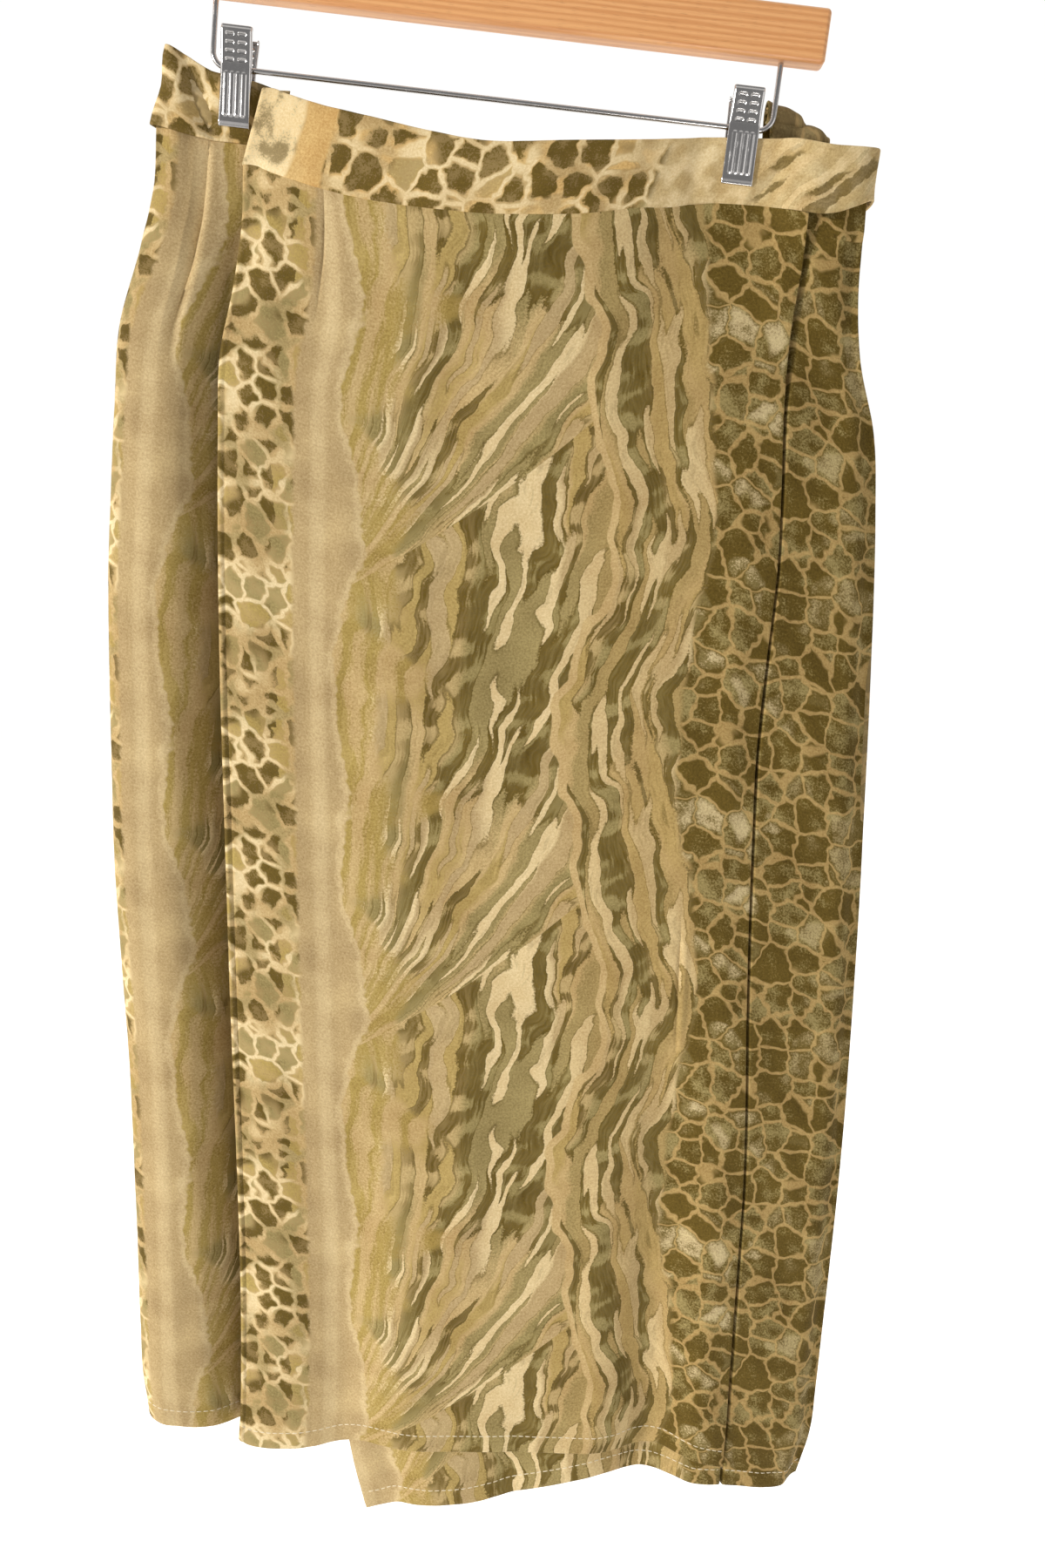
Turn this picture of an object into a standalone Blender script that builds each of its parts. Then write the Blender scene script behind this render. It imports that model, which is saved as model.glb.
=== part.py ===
"""A wrap skirt clipped to a wooden hanger.

Metres, +Z up, +X to the viewer's right, -Y towards the viewer. The origin is the inner top of the
hanger's hook, where a rail carries it. The hanger hangs a little askew, so its parts are children of
one tilted empty. The cloth hangs plumb from it. Tables are in millimetres.

The skirt is one flattened tube. The back panel lies between the two side seams. The side front goes
on from the left one to a seam at the front left, and the under wrap from the right one, behind the
over wrap. The over wrap starts at the front left seam, turns over in a fold, and ends in a free edge
at the right. A waistband runs along them all and ends in a tie that turns round to the back.
"""

from collections import namedtuple
from math import asin, cos, exp, hypot, pi, radians, sin

import bmesh
import bpy
from mathutils import Vector

MM = 0.001

# Cloth
CLOTH_WALL = 1.2
BAND_WALL = 2.0
TAIL_WALL = 1.4
SEAM_GAP = 0.3
SEAM_LIP = 2.2
LIP_Y = (SEAM_GAP + CLOTH_WALL) / 2
FOLD_RADIUS = 1.6
FOLD_STEPS = 6
FOLD_COLUMNS = FOLD_STEPS + 4
FOLD_TO_FRONT = 4.0
UNDERLAY = 18.0
SIDE_ROUNDNESS = 2.4
WRAP_SPACING = 3.2
WAIST_REACH = 0.14
PANEL_ROWS = 17
ROWS_TO_ENDS = 0.45
BAND_ROWS = 3

# Hanger, in its own untilted frame
HANGER_TILT = radians(4.35)
BAR_LENGTH = 356.0
BAR_HEIGHT = 28.0
BAR_THICKNESS = 12.0
BAR_BEVEL = 2.5
HOOK_TO_BAR = 62.0
HOOK_WIRE = 1.9
HOOK_INNER_RADIUS = 20.1
HOOK_NECK_RADIUS = 12.0
HOOK_TIP_ANGLE = radians(197)
CLIP_WIRE = 1.5
CLIP_WIRE_SPAN = 310.0
CLIP_WIRE_DROP = 35.0
CLIP_WIRE_BEND = 8.0
CLIP_WIRE_HEIGHT = -HOOK_TO_BAR - BAR_HEIGHT - CLIP_WIRE_DROP

# Clips, measured from the axis of the wire that they turn on
CLIP_WIDTH = 17.0
CLIP_TOP = 18.0
CLIP_JAW = 30.0
CLIP_PLATE = 1.0
CLIP_FLANGE = 3.0
CLIP_SPREAD_TOP = 9.5
CLIP_SPREAD_WIRE = 5.6
CLIP_BARREL_INNER = 1.9
CLIP_BARREL_OUTER = 3.3
CLIP_BARREL_LENGTH = 8.0
CLIP_BARREL_SIDES = 12

Clip = namedtuple("Clip", "side along jaw")
CLIPS = [
    Clip("left", -140.6, 2.5),
    Clip("right", 138.9, 4.9),
]

# The tube's outline. drop runs from 0 at the waist seam to 1 at the hem; left and right are the
# sides seen from the front, and front and back how far the cloth stands out between them.
Outline = namedtuple("Outline", "drop left right front back")
OUTLINE = [
    Outline(0.00, -198, 199.5, 15, 9),
    Outline(0.04, -206, 200, 17, 11),
    Outline(0.12, -217, 214, 20, 14),
    Outline(0.22, -224, 222, 23, 17),
    Outline(0.35, -230, 227, 25, 19),
    Outline(0.50, -230, 231, 26, 20),
    Outline(0.70, -224, 233.5, 27, 22),
    Outline(0.85, -222, 231.5, 28, 23),
    Outline(0.96, -221, 229, 29, 24),
    Outline(1.00, -217, 222, 29, 24),
]

# Where the over wrap folds at the left and ends at the right, and where the under wrap ends.
Edges = namedtuple("Edges", "drop fold over_edge under_edge")
EDGES = [
    Edges(0.00, -146, 159, -112),
    Edges(0.05, -150, 157, -111),
    Edges(0.14, -158, 160, -108),
    Edges(0.25, -159, 162, -104),
    Edges(0.38, -158, 157, -101),
    Edges(0.50, -156, 159, -98),
    Edges(0.62, -154, 163, -94),
    Edges(0.75, -151, 168, -90),
    Edges(0.88, -149, 168, -85),
    Edges(0.94, -149, 168, -79),
    Edges(1.00, -151, 167, -67),
]

# The waistband's stretches. x, y and top are its upper edge, bottom its lower edge's height, and
# lean how far its lower edge stands to the right of the upper one.
Band = namedtuple("Band", "x y top bottom lean")
BACK_BAND = [
    Band(-122, -1.2, -135.0, -155.0, -2),
    Band(-142, -1.2, -124.0, -152.0, -2),
    Band(-168, -1.2, -115.0, -150.0, -3),
    Band(-178, -3.6, -109.0, -147.5, -5),
    Band(-187, -3.8, -105.0, -144.8, -7),
    Band(-190, 0.0, -104.6, -143.6, -8),
    Band(-187, 3.8, -105.5, -144.8, -7),
    Band(-178, 3.8, -109.5, -148.0, -5),
    Band(-167, 1.2, -115.0, -153.0, -3),
    Band(-146, 1.2, -119.0, -157.0, -2),
    Band(-100, 7.0, -132.0, -170.0, 0),
    Band(-40, 11.0, -146.0, -184.0, 0),
    Band(20, 12.0, -150.0, -188.0, 0),
    Band(80, 7.0, -147.0, -185.0, 0),
    Band(112, 1.2, -143.5, -181.5, 0),
    Band(142, 1.2, -144.5, -182.5, 0),
    Band(160, 4.4, -149.0, -187.0, 0),
    Band(183, 4.6, -153.0, -191.0, 0),
]
UNDER_BAND = [
    Band(-112, -8.0, -194.0, -232.0, 0),
    Band(-60, -13.0, -184.0, -222.0, 0),
    Band(0, -15.0, -172.0, -210.0, 0),
    Band(50, -12.0, -160.0, -198.0, 0),
    Band(88, -4.6, -149.5, -187.5, 0),
    Band(112, -1.2, -144.0, -181.5, 0),
    Band(142, -1.2, -144.5, -182.5, 0),
    Band(160, -4.6, -147.5, -185.0, 0),
    Band(174, -6.2, -151.0, -188.5, 0),
    Band(187, -5.6, -154.0, -191.5, 0),
]
OVER_BAND = [
    Band(-131, -6.8, -126.0, -164.0, -11),
    Band(-103, -14.0, -136.0, -175.0, -7),
    Band(-72, -17.5, -143.0, -183.0, -4),
    Band(-41, -19.5, -149.5, -186.8, -2),
    Band(-8, -20.0, -153.5, -188.7, 0),
    Band(30, -19.0, -151.5, -187.5, 0),
    Band(66, -14.5, -148.5, -182.5, 0),
    Band(96, -7.4, -144.5, -178.0, 0),
    Band(112, -3.6, -142.0, -174.5, 0),
    Band(142, -3.6, -141.8, -175.2, 0),
    Band(159, -8.6, -142.6, -178.0, 0),
    Band(176, -11.2, -146.2, -180.6, -1),
    Band(191, -10.2, -146.4, -177.0, -2),
    Band(202, -6.0, -145.2, -171.5, -2),
    Band(206, 0.5, -144.8, -170.0, -2),
    Band(202, 6.0, -147.0, -174.0, -2),
    Band(188, 9.4, -149.5, -180.0, -1),
    Band(165, 9.0, -150.0, -184.0, 0),
    Band(141, 3.6, -146.0, -182.0, 0),
    Band(113, 3.6, -145.0, -181.0, 0),
]
OVER_WAIST_EDGE = 168
BACK_BAND_STEPS = 54
UNDER_BAND_STEPS = 26
OVER_BAND_STEPS = 44
BAND_UNDERLAY = 14.0
BAND_UNDERLAY_Y = -3.6

# Height of each hem along x.
Hem = namedtuple("Hem", "x height")
OVER_HEM = [
    Hem(-151, -946),
    Hem(-142, -950),
    Hem(-110, -949),
    Hem(-60, -942),
    Hem(60, -943),
    Hem(120, -944),
    Hem(145, -948),
    Hem(168, -955),
]
UNDER_HEM = [
    Hem(-85, -993),
    Hem(-67, -996),
    Hem(-40, -987),
    Hem(14, -982),
    Hem(60, -969),
    Hem(92, -963),
    Hem(150, -968),
    Hem(215, -978),
    Hem(225, -972),
]
BACK_HEM = [
    Hem(-222, -941),
    Hem(-212, -943),
    Hem(0, -961),
    Hem(215, -978),
    Hem(225, -972),
]

# Soft folds of the hanging cloth: where along x, how wide, how far the cloth goes back (or comes
# forward, if negative), and the drop at which each starts.
Fold = namedtuple("Fold", "x width depth start")
FRONT_FOLDS = [
    Fold(-83, 20, 7.0, 0.55),
    Fold(-25, 34, -3.0, 0.50),
    Fold(116, 22, 12.0, 0.45),
    Fold(150, 13, -3.0, 0.60),
]
UNDER_FOLDS = [Fold(-52, 13, 6.0, 0.80), Fold(28, 16, 4.0, 0.80)]
LEFT_FOLDS = [Fold(-203, 9, -2.5, 0.45)]
BACK_FOLDS = [
    Fold(-150, 26, 6.0, 0.30),
    Fold(-70, 30, -7.0, 0.40),
    Fold(15, 34, 6.0, 0.35),
    Fold(105, 30, -7.0, 0.40),
    Fold(175, 18, 4.0, 0.45),
]

# The tie's tail: a strip that lies on the back of the band, rises above it and rolls over itself.
TAIL_LEFT, TAIL_RIGHT = 144.0, 173.0
TAIL_BOTTOM = -170.0
TAIL_LEAVES_BAND = -150.0
ROLL_CENTRE_Y = 8.8
ROLL_CENTRE_Z = -132.5
ROLL_OUTER, ROLL_INNER = 5.2, 2.4
ROLL_TURNS = 1.25
ROLL_SLOPE = -0.28
TAIL_COLUMNS = 5
ROLL_STEPS = 22

WOOD = ("hanger_wood", (0.72, 0.42, 0.20), 0.45, 0.0)
STEEL = ("clip_steel", (0.62, 0.62, 0.63), 0.25, 1.0)
PRINT = ("printed_cloth", (0.42, 0.36, 0.22), 0.80, 0.0)
BAND_PRINT = ("waistband_cloth", (0.50, 0.43, 0.27), 0.80, 0.0)


# ---------------------------------------------------------------- numbers


def mixed(a, b, share):
    return a + (b - a) * share


def smooth(low, high, value):
    """0 below low, 1 above high, and an easy S between them."""
    share = min(1.0, max(0.0, (value - low) / (high - low)))
    return share * share * (3 - 2 * share)


def read(table, column, at):
    """The column's value at a value of the table's first column, on a smooth curve through its
    rows that doesn't overshoot them."""
    keys = [row[0] for row in table]
    values = [getattr(row, column) for row in table]
    last = len(keys) - 1
    rates = [(values[i + 1] - values[i]) / (keys[i + 1] - keys[i]) for i in range(last)]
    at = min(max(at, keys[0]), keys[-1])
    low = max(i for i in range(last) if keys[i] <= at)

    def slope(i):
        if i in (0, last):
            return rates[min(i, last - 1)]
        before, after = rates[i - 1], rates[i]
        return 2 * before * after / (before + after) if before * after > 0 else 0.0

    span = keys[low + 1] - keys[low]
    t = (at - keys[low]) / span
    rest = (1 - t) * (1 - t)
    return (
        values[low] * (1 + 2 * t) * rest
        + slope(low) * span * t * rest
        + values[low + 1] * t * t * (3 - 2 * t)
        - slope(low + 1) * span * t * t * (1 - t)
    )


def superellipse(across):
    """Height of a rounded arch of height 1, from 1 in its middle to 0 at across = 1."""
    return (1 - min(1.0, abs(across)) ** SIDE_ROUNDNESS) ** (1 / SIDE_ROUNDNESS)


def pressed(folds, x, drop):
    """How far back the soft folds push the cloth at x and drop."""
    return sum(
        fold.depth * exp(-(((x - fold.x) / fold.width) ** 2)) * smooth(fold.start, 1.0, drop)
        for fold in folds
    )


# ---------------------------------------------------------------- the waistband


def walked(rows, steps):
    """The band's rows as evenly spaced rows on a smooth curve through them."""
    lengths = [0.0]
    for a, b in zip(rows, rows[1:]):
        lengths.append(lengths[-1] + hypot(b.x - a.x, b.y - a.y))
    Walk = namedtuple("Walk", ("at",) + Band._fields)
    table = [Walk(at, *row) for at, row in zip(lengths, rows)]
    points = [lengths[-1] * i / steps for i in range(steps + 1)]
    return [Band(*(read(table, column, at) for column in Band._fields)) for at in points]


def turned_under(edge, front, seam, length):
    """(x, y) from a seam behind the cloth, out to its edge and round the fold, up to the front layer.

    front and seam are the y of the outer layer and of the seam."""
    middle = edge + FOLD_RADIUS
    behind = front + 2 * FOLD_RADIUS
    points = [
        (edge + length, seam),
        (edge + 0.75 * length, seam),
        (edge + 0.4 * length, mixed(seam, behind, 0.7)),
    ]
    for i in range(FOLD_STEPS + 1):
        angle = pi / 2 + pi * i / FOLD_STEPS
        points.append(
            (middle + FOLD_RADIUS * cos(angle), front + FOLD_RADIUS + FOLD_RADIUS * sin(angle))
        )
    return points


def with_lip(rows, facing):
    """The rows, and a lip at the right side seam where the front and back bands meet.

    facing is -1 for the front band and 1 for the back one."""
    y = facing * (SEAM_GAP + BAND_WALL) / 2
    right = OUTLINE[0].right
    return rows + [rows[-1]._replace(x=x, y=y) for x in (right - SEAM_LIP, right)]


def over_band_rows():
    """The over wrap's band: its turned-under end, then the table's rows."""
    first = OVER_BAND[0]
    ends = turned_under(first.x - FOLD_TO_FRONT, first.y, BAND_UNDERLAY_Y, BAND_UNDERLAY)
    folded = [first._replace(x=x, y=y) for x, y in ends]
    return folded + walked(OVER_BAND, OVER_BAND_STEPS)


def lower_edge(rows):
    """The line a seam gap below the rows of a band, where the panel under it starts."""
    return [Vector((row.x + row.lean, row.y, row.bottom - SEAM_GAP)) for row in rows]


def on_line(line, x):
    """The point at x on a line whose points run along x, in either direction."""
    line = sorted(line, key=lambda point: point.x)
    x = min(max(x, line[0].x), line[-1].x)
    for a, b in zip(line, line[1:]):
        if x <= b.x:
            return a.lerp(b, (x - a.x) / (b.x - a.x))
    return line[-1]


OVER_ROWS = over_band_rows()
UNDER_ROWS = with_lip(walked(UNDER_BAND, UNDER_BAND_STEPS), -1)
BACK_ROWS = with_lip(walked(BACK_BAND, BACK_BAND_STEPS), 1)


# ---------------------------------------------------------------- the tube's shape


def bulge(x, drop, column):
    """How far the tube stands out at x, towards the front or the back."""
    left, right = read(OUTLINE, "left", drop), read(OUTLINE, "right", drop) - SEAM_LIP
    return read(OUTLINE, column, drop) * superellipse((2 * x - left - right) / (right - left))


def over_y(x, drop):
    return -bulge(x, drop, "front") + pressed(FRONT_FOLDS, x, drop)


def under_y(x, drop):
    """The under wrap's y, a little behind the over wrap and meeting the back at the side seam."""
    to_side = read(OUTLINE, "right", drop) - SEAM_LIP - x
    behind = WRAP_SPACING * (1 - exp(-max(0.0, to_side) / 12))
    return over_y(x, drop) + behind + pressed(UNDER_FOLDS, x, drop)


def back_y(x, drop):
    return bulge(x, drop, "back") + pressed(BACK_FOLDS, x, drop)


def front_left_seam(drop):
    return read(EDGES, "fold", drop) + UNDERLAY


def left_y(x, drop):
    """The side front's y: out from the left side, then in to the seam under the over wrap."""
    left, seam = read(OUTLINE, "left", drop), front_left_seam(drop)
    across = (x - left) / (seam - left)
    out = mixed(6.0, 13.5, smooth(0.0, 0.2, drop)) * superellipse(1 - min(across / 0.45, 1.0))
    return -out * (1 - 0.75 * smooth(0.35, 0.9, across)) + pressed(LEFT_FOLDS, x, drop)


# ---------------------------------------------------------------- panels as grids of points


def hung(waist, x, y, drop, hem):
    """A panel's point: on its waist seam at drop 0, leaving it for the free x and y further down."""
    leaving = smooth(0.0, WAIST_REACH, drop)
    x = mixed(waist.x, x, leaving)
    y = mixed(waist.y, y, leaving)
    return Vector((x, y, mixed(waist.z, read(hem, "height", x), drop)))


def panel_grid(columns, point):
    """Rows of points from the waist to the hem. Rows are closer together near both."""
    rows = []
    for i in range(PANEL_ROWS + 1):
        share = i / PANEL_ROWS
        drop = mixed(share, 0.5 - 0.5 * cos(pi * share), ROWS_TO_ENDS)
        rows.append([point(column, drop) * MM for column in columns])
    return rows


def shares(line):
    """How far along x each point of a line is, from 0 at its first point to 1 at its last."""
    return [(point.x - line[0].x) / (line[-1].x - line[0].x) for point in line]


def over_wrap_grid():
    """The over wrap: underlay and fold first, then across to its free edge."""
    waist = lower_edge(OVER_ROWS)
    across = [p for p in waist[FOLD_COLUMNS:] if p.y < 0 and p.x < OVER_WAIST_EDGE]
    columns = [("folded", i) for i in range(FOLD_COLUMNS)]
    columns += [("across", share) for share in shares(across)]

    def point(index, drop):
        part, value = columns[index]
        fold, edge = read(EDGES, "fold", drop), read(EDGES, "over_edge", drop)
        if part == "folded":
            outer = over_y(fold + FOLD_TO_FRONT, drop)
            seam = left_y(front_left_seam(drop), drop) - CLOTH_WALL - SEAM_GAP
            x, y = turned_under(fold, outer, seam, UNDERLAY)[value]
        else:
            x = mixed(fold + FOLD_TO_FRONT, edge, value)
            y = over_y(x, drop)
        return hung(waist[index], x, y, drop, OVER_HEM)

    return panel_grid(range(len(columns)), point)


def under_wrap_grid():
    """The under wrap, from its free edge behind the over wrap to the right side seam."""
    waist = lower_edge(UNDER_ROWS)
    along = shares(waist[:-1])

    def point(index, drop):
        free_edge, right = read(EDGES, "under_edge", drop), read(OUTLINE, "right", drop)
        if index == len(along):
            return hung(waist[index], right, -LIP_Y, drop, UNDER_HEM)
        x = mixed(free_edge, right - SEAM_LIP, along[index])
        return hung(waist[index], x, min(under_y(x, drop), -LIP_Y), drop, UNDER_HEM)

    return panel_grid(range(len(waist)), point)


def waist_from_left(facing):
    """The waist line from the left side seam: the two points of its lip, then the band's points.

    facing is -1 for the side front and 1 for the back."""
    band = lower_edge(BACK_ROWS)
    turn = min(range(len(band)), key=lambda i: band[i].x)
    left = band[turn]
    lip = [Vector((left.x + inwards, facing * LIP_Y, left.z)) for inwards in (0.0, SEAM_LIP)]
    rest = band[turn + 1 :] if facing > 0 else band[:turn][::-1]
    return lip + [point for point in rest if point.x > left.x + 2 * SEAM_LIP]


def side_front_grid():
    """The side front, from the left side seam to the front left seam."""
    waist = waist_from_left(-1)
    across = shares(waist[1:])

    def point(index, drop):
        left = read(OUTLINE, "left", drop)
        if index == 0:
            return hung(waist[0], left, -LIP_Y, drop, BACK_HEM)
        x = mixed(left + SEAM_LIP, front_left_seam(drop), across[index - 1])
        return hung(waist[index], x, min(left_y(x, drop), -LIP_Y), drop, BACK_HEM)

    return panel_grid(range(len(waist)), point)


def back_panel_grid():
    """The back panel, from the left side seam to the right one."""
    waist = waist_from_left(1)
    along = shares(waist[1:-1])

    def point(index, drop):
        left, right = read(OUTLINE, "left", drop), read(OUTLINE, "right", drop)
        if index in (0, len(waist) - 1):
            return hung(waist[index], right if index else left, LIP_Y, drop, BACK_HEM)
        x = mixed(left + SEAM_LIP, right - SEAM_LIP, along[index - 1])
        return hung(waist[index], x, max(back_y(x, drop), LIP_Y), drop, BACK_HEM)

    return panel_grid(range(len(waist)), point)


def band_grid(rows):
    """A band's points, from its upper to its lower edge."""
    grid = []
    for i in range(BAND_ROWS + 1):
        share = i / BAND_ROWS
        grid.append(
            [
                Vector((row.x + row.lean * share, row.y, mixed(row.top, row.bottom, share))) * MM
                for row in rows
            ]
        )
    return grid


def tail_grid():
    """The tie's tail: up the back of the band, then rolled forward over itself."""
    band_back = [p for p in lower_edge(OVER_ROWS) if p.y > 0]
    on_band = (BAND_WALL + TAIL_WALL) / 2 + 2 * SEAM_GAP
    heights = [mixed(TAIL_BOTTOM, ROLL_CENTRE_Z, i / 4) for i in range(4)]
    profile = [(smooth(TAIL_LEAVES_BAND, ROLL_CENTRE_Z, z), ROLL_OUTER, z) for z in heights]
    for i in range(ROLL_STEPS + 1):
        share = i / ROLL_STEPS
        angle = 2 * pi * ROLL_TURNS * share
        radius = mixed(ROLL_OUTER, ROLL_INNER, share)
        profile.append((1.0, radius * cos(angle), ROLL_CENTRE_Z + radius * sin(angle)))
    grid = []
    for risen, reach, z in profile:
        line = []
        for i in range(TAIL_COLUMNS + 1):
            x = mixed(TAIL_LEFT, TAIL_RIGHT, i / TAIL_COLUMNS)
            flat = on_line(band_back, x).y + on_band
            slope = ROLL_SLOPE * (x - (TAIL_LEFT + TAIL_RIGHT) / 2) * risen
            line.append(Vector((x, mixed(flat, ROLL_CENTRE_Y + reach, risen), z + slope)) * MM)
        grid.append(line)
    return grid


# ---------------------------------------------------------------- Blender objects


def clear_scene():
    for obj in list(bpy.data.objects):
        bpy.data.objects.remove(obj)


def material(spec):
    name, colour, roughness, metallic = spec
    found = bpy.data.materials.get(name)
    if found:
        return found
    made = bpy.data.materials.new(name)
    made.use_nodes = True
    shader = made.node_tree.nodes["Principled BSDF"]
    shader.inputs["Base Color"].default_value = (*colour, 1.0)
    shader.inputs["Roughness"].default_value = roughness
    shader.inputs["Metallic"].default_value = metallic
    return made


def added(name, data, finish, parent=None):
    obj = bpy.data.objects.new(name, data)
    bpy.context.scene.collection.objects.link(obj)
    obj.data.materials.append(material(finish))
    obj.parent = parent
    return obj


def mesh_from(name, shape):
    """A mesh from a bmesh whose faces are turned outwards."""
    bmesh.ops.recalc_face_normals(shape, faces=shape.faces)
    mesh = bpy.data.meshes.new(name)
    shape.to_mesh(mesh)
    shape.free()
    return mesh


def cloth(name, grid, wall, finish):
    """A sheet of cloth through a grid of points, thickened to a wall."""
    columns = len(grid[0])
    points = [point for row in grid for point in row]
    faces = []
    for i in range(len(grid) - 1):
        for j in range(columns - 1):
            a = i * columns + j
            faces.append((a, a + columns, a + columns + 1, a + 1))
    mesh = bpy.data.meshes.new(name)
    mesh.from_pydata(points, [], faces)
    mesh.shade_smooth()
    obj = added(name, mesh, finish)
    thicken = obj.modifiers.new("wall", "SOLIDIFY")
    thicken.thickness = wall * MM
    thicken.offset = 0.0


def build_skirt():
    cloth("over_wrap", over_wrap_grid(), CLOTH_WALL, PRINT)
    cloth("under_wrap", under_wrap_grid(), CLOTH_WALL, PRINT)
    cloth("side_front", side_front_grid(), CLOTH_WALL, PRINT)
    cloth("back_panel", back_panel_grid(), CLOTH_WALL, PRINT)
    cloth("waistband_over", band_grid(OVER_ROWS), BAND_WALL, BAND_PRINT)
    cloth("waistband_under", band_grid(UNDER_ROWS), BAND_WALL, BAND_PRINT)
    cloth("waistband_back", band_grid(BACK_ROWS), BAND_WALL, BAND_PRINT)
    cloth("tie_tail", tail_grid(), TAIL_WALL, BAND_PRINT)


# ---------------------------------------------------------------- the hanger


def arc(centre, radius, start, end, steps):
    """Points (x, z) on an arc, both ends included."""
    angles = [mixed(start, end, i / steps) for i in range(steps + 1)]
    return [(centre[0] + radius * cos(a), centre[1] + radius * sin(a)) for a in angles]


def wire(name, points, radius, parent):
    """A round wire along points (x, z), with closed ends."""
    curve = bpy.data.curves.new(name, "CURVE")
    curve.dimensions = "3D"
    curve.bevel_depth = radius * MM
    curve.bevel_resolution = 3
    curve.use_fill_caps = True
    spline = curve.splines.new("POLY")
    spline.points.add(len(points) - 1)
    for target, (x, z) in zip(spline.points, points):
        target.co = (x * MM, 0.0, z * MM, 1.0)
    added(name, curve, STEEL, parent)


def hanger_bar(tilted):
    shape = bmesh.new()
    bmesh.ops.create_cube(shape, size=1.0)
    size = Vector((BAR_LENGTH, BAR_THICKNESS, BAR_HEIGHT))
    for vertex in shape.verts:
        vertex.co = vertex.co * size * MM
    bar = added("hanger_bar", mesh_from("hanger_bar", shape), WOOD, tilted)
    bar.location.z = (-HOOK_TO_BAR - BAR_HEIGHT / 2) * MM
    rounding = bar.modifiers.new("rounding", "BEVEL")
    rounding.width = BAR_BEVEL * MM
    rounding.segments = 3


def hanger_hook(tilted):
    """A question mark of wire: a straight stem, a short bend to the right, then the round crook."""
    crook = HOOK_INNER_RADIUS + HOOK_WIRE
    reach = crook + HOOK_NECK_RADIUS
    neck_z = -HOOK_INNER_RADIUS - (reach**2 - HOOK_NECK_RADIUS**2) ** 0.5
    lean = pi / 2 - asin(HOOK_NECK_RADIUS / reach)
    neck = arc((HOOK_NECK_RADIUS, neck_z), HOOK_NECK_RADIUS, pi, pi - lean, 6)
    round_part = arc((0.0, -HOOK_INNER_RADIUS), crook, -lean, HOOK_TIP_ANGLE, 26)
    stem = [(0.0, -HOOK_TO_BAR + SEAM_GAP)]
    wire("hanger_hook", stem + neck + round_part[1:], HOOK_WIRE, tilted)


def clip_wire(tilted):
    """The wire under the bar that the clips slide on, and its two ends, bent up to the wood."""
    end, bend = CLIP_WIRE_SPAN / 2, CLIP_WIRE_BEND
    middle = CLIP_WIRE_HEIGHT + bend
    top = -HOOK_TO_BAR - BAR_HEIGHT - SEAM_GAP
    straight = end - bend - 2 * SEAM_GAP
    ends = [(-straight, CLIP_WIRE_HEIGHT), (straight, CLIP_WIRE_HEIGHT)]
    wire("clip_wire", ends, CLIP_WIRE, tilted)
    left = arc((-end + bend, middle), bend, pi, 1.5 * pi, 5)
    wire("clip_wire_left", [(-end, top)] + left, CLIP_WIRE, tilted)
    right = arc((end - bend, middle), bend, 1.5 * pi, 2 * pi, 5)
    wire("clip_wire_right", right + [(end, top)], CLIP_WIRE, tilted)


def rings_mesh(name, rings, closed):
    """A mesh that joins rings of points one to the next, closed round or capped at both ends."""
    shape = bmesh.new()
    made = [[shape.verts.new(Vector(point) * MM) for point in ring] for ring in rings]
    following = made[1:] + made[:1] if closed else made[1:]
    for ring, after in zip(made, following):
        for i in range(len(ring)):
            j = (i + 1) % len(ring)
            shape.faces.new((ring[i], ring[j], after[j], after[i]))
    if not closed:
        shape.faces.new(made[0])
        shape.faces.new(made[-1])
    return mesh_from(name, shape)


def jaw(name, clip, facing, tilted):
    """One pressed plate of a clip: a shallow channel, open towards the wire.

    facing is -1 for the front plate and 1 for the back one."""
    Station = namedtuple("Station", "height spread flange")
    stations = [
        Station(CLIP_TOP, CLIP_SPREAD_TOP, CLIP_FLANGE),
        Station(0.0, CLIP_SPREAD_WIRE, CLIP_FLANGE),
        Station(-CLIP_JAW * 0.5, mixed(CLIP_SPREAD_WIRE, clip.jaw, 0.5), CLIP_FLANGE * 0.3),
        Station(-CLIP_JAW, clip.jaw, 0.0),
    ]
    half = CLIP_WIDTH / 2
    inner = half - CLIP_PLATE
    rings = []
    for height, spread, flange in stations:
        flange = min(flange, max(0.0, spread - clip.jaw))
        face, rim = spread + CLIP_PLATE, spread - flange
        outline = [(-half, rim), (-inner, rim), (-inner, spread + 0.01), (inner, spread + 0.01)]
        outline += [(inner, rim), (half, rim), (half, face), (-half, face)]
        z = CLIP_WIRE_HEIGHT + height
        rings.append([(clip.along + x, facing * y, z) for x, y in outline])
    added(name, rings_mesh(name, rings, closed=False), STEEL, tilted)


def clip_barrel(name, clip, tilted):
    """The sleeve that turns on the wire between the two plates."""
    corners = [(CLIP_BARREL_INNER, -1), (CLIP_BARREL_OUTER, -1)]
    corners += [(CLIP_BARREL_OUTER, 1), (CLIP_BARREL_INNER, 1)]
    rings = []
    for radius, side in corners:
        x = clip.along + side * CLIP_BARREL_LENGTH / 2
        round_points = arc((0.0, CLIP_WIRE_HEIGHT), radius, 0.0, 2 * pi, CLIP_BARREL_SIDES)[:-1]
        rings.append([(x, y, z) for y, z in round_points])
    added(name, rings_mesh(name, rings, closed=True), STEEL, tilted)


def build_hanger():
    tilted = bpy.data.objects.new("hanger_tilt", None)
    bpy.context.scene.collection.objects.link(tilted)
    tilted.rotation_euler.y = HANGER_TILT
    hanger_bar(tilted)
    hanger_hook(tilted)
    clip_wire(tilted)
    for clip in CLIPS:
        jaw(f"clip_{clip.side}_front", clip, -1, tilted)
        jaw(f"clip_{clip.side}_back", clip, 1, tilted)
        clip_barrel(f"clip_{clip.side}_barrel", clip, tilted)


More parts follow.
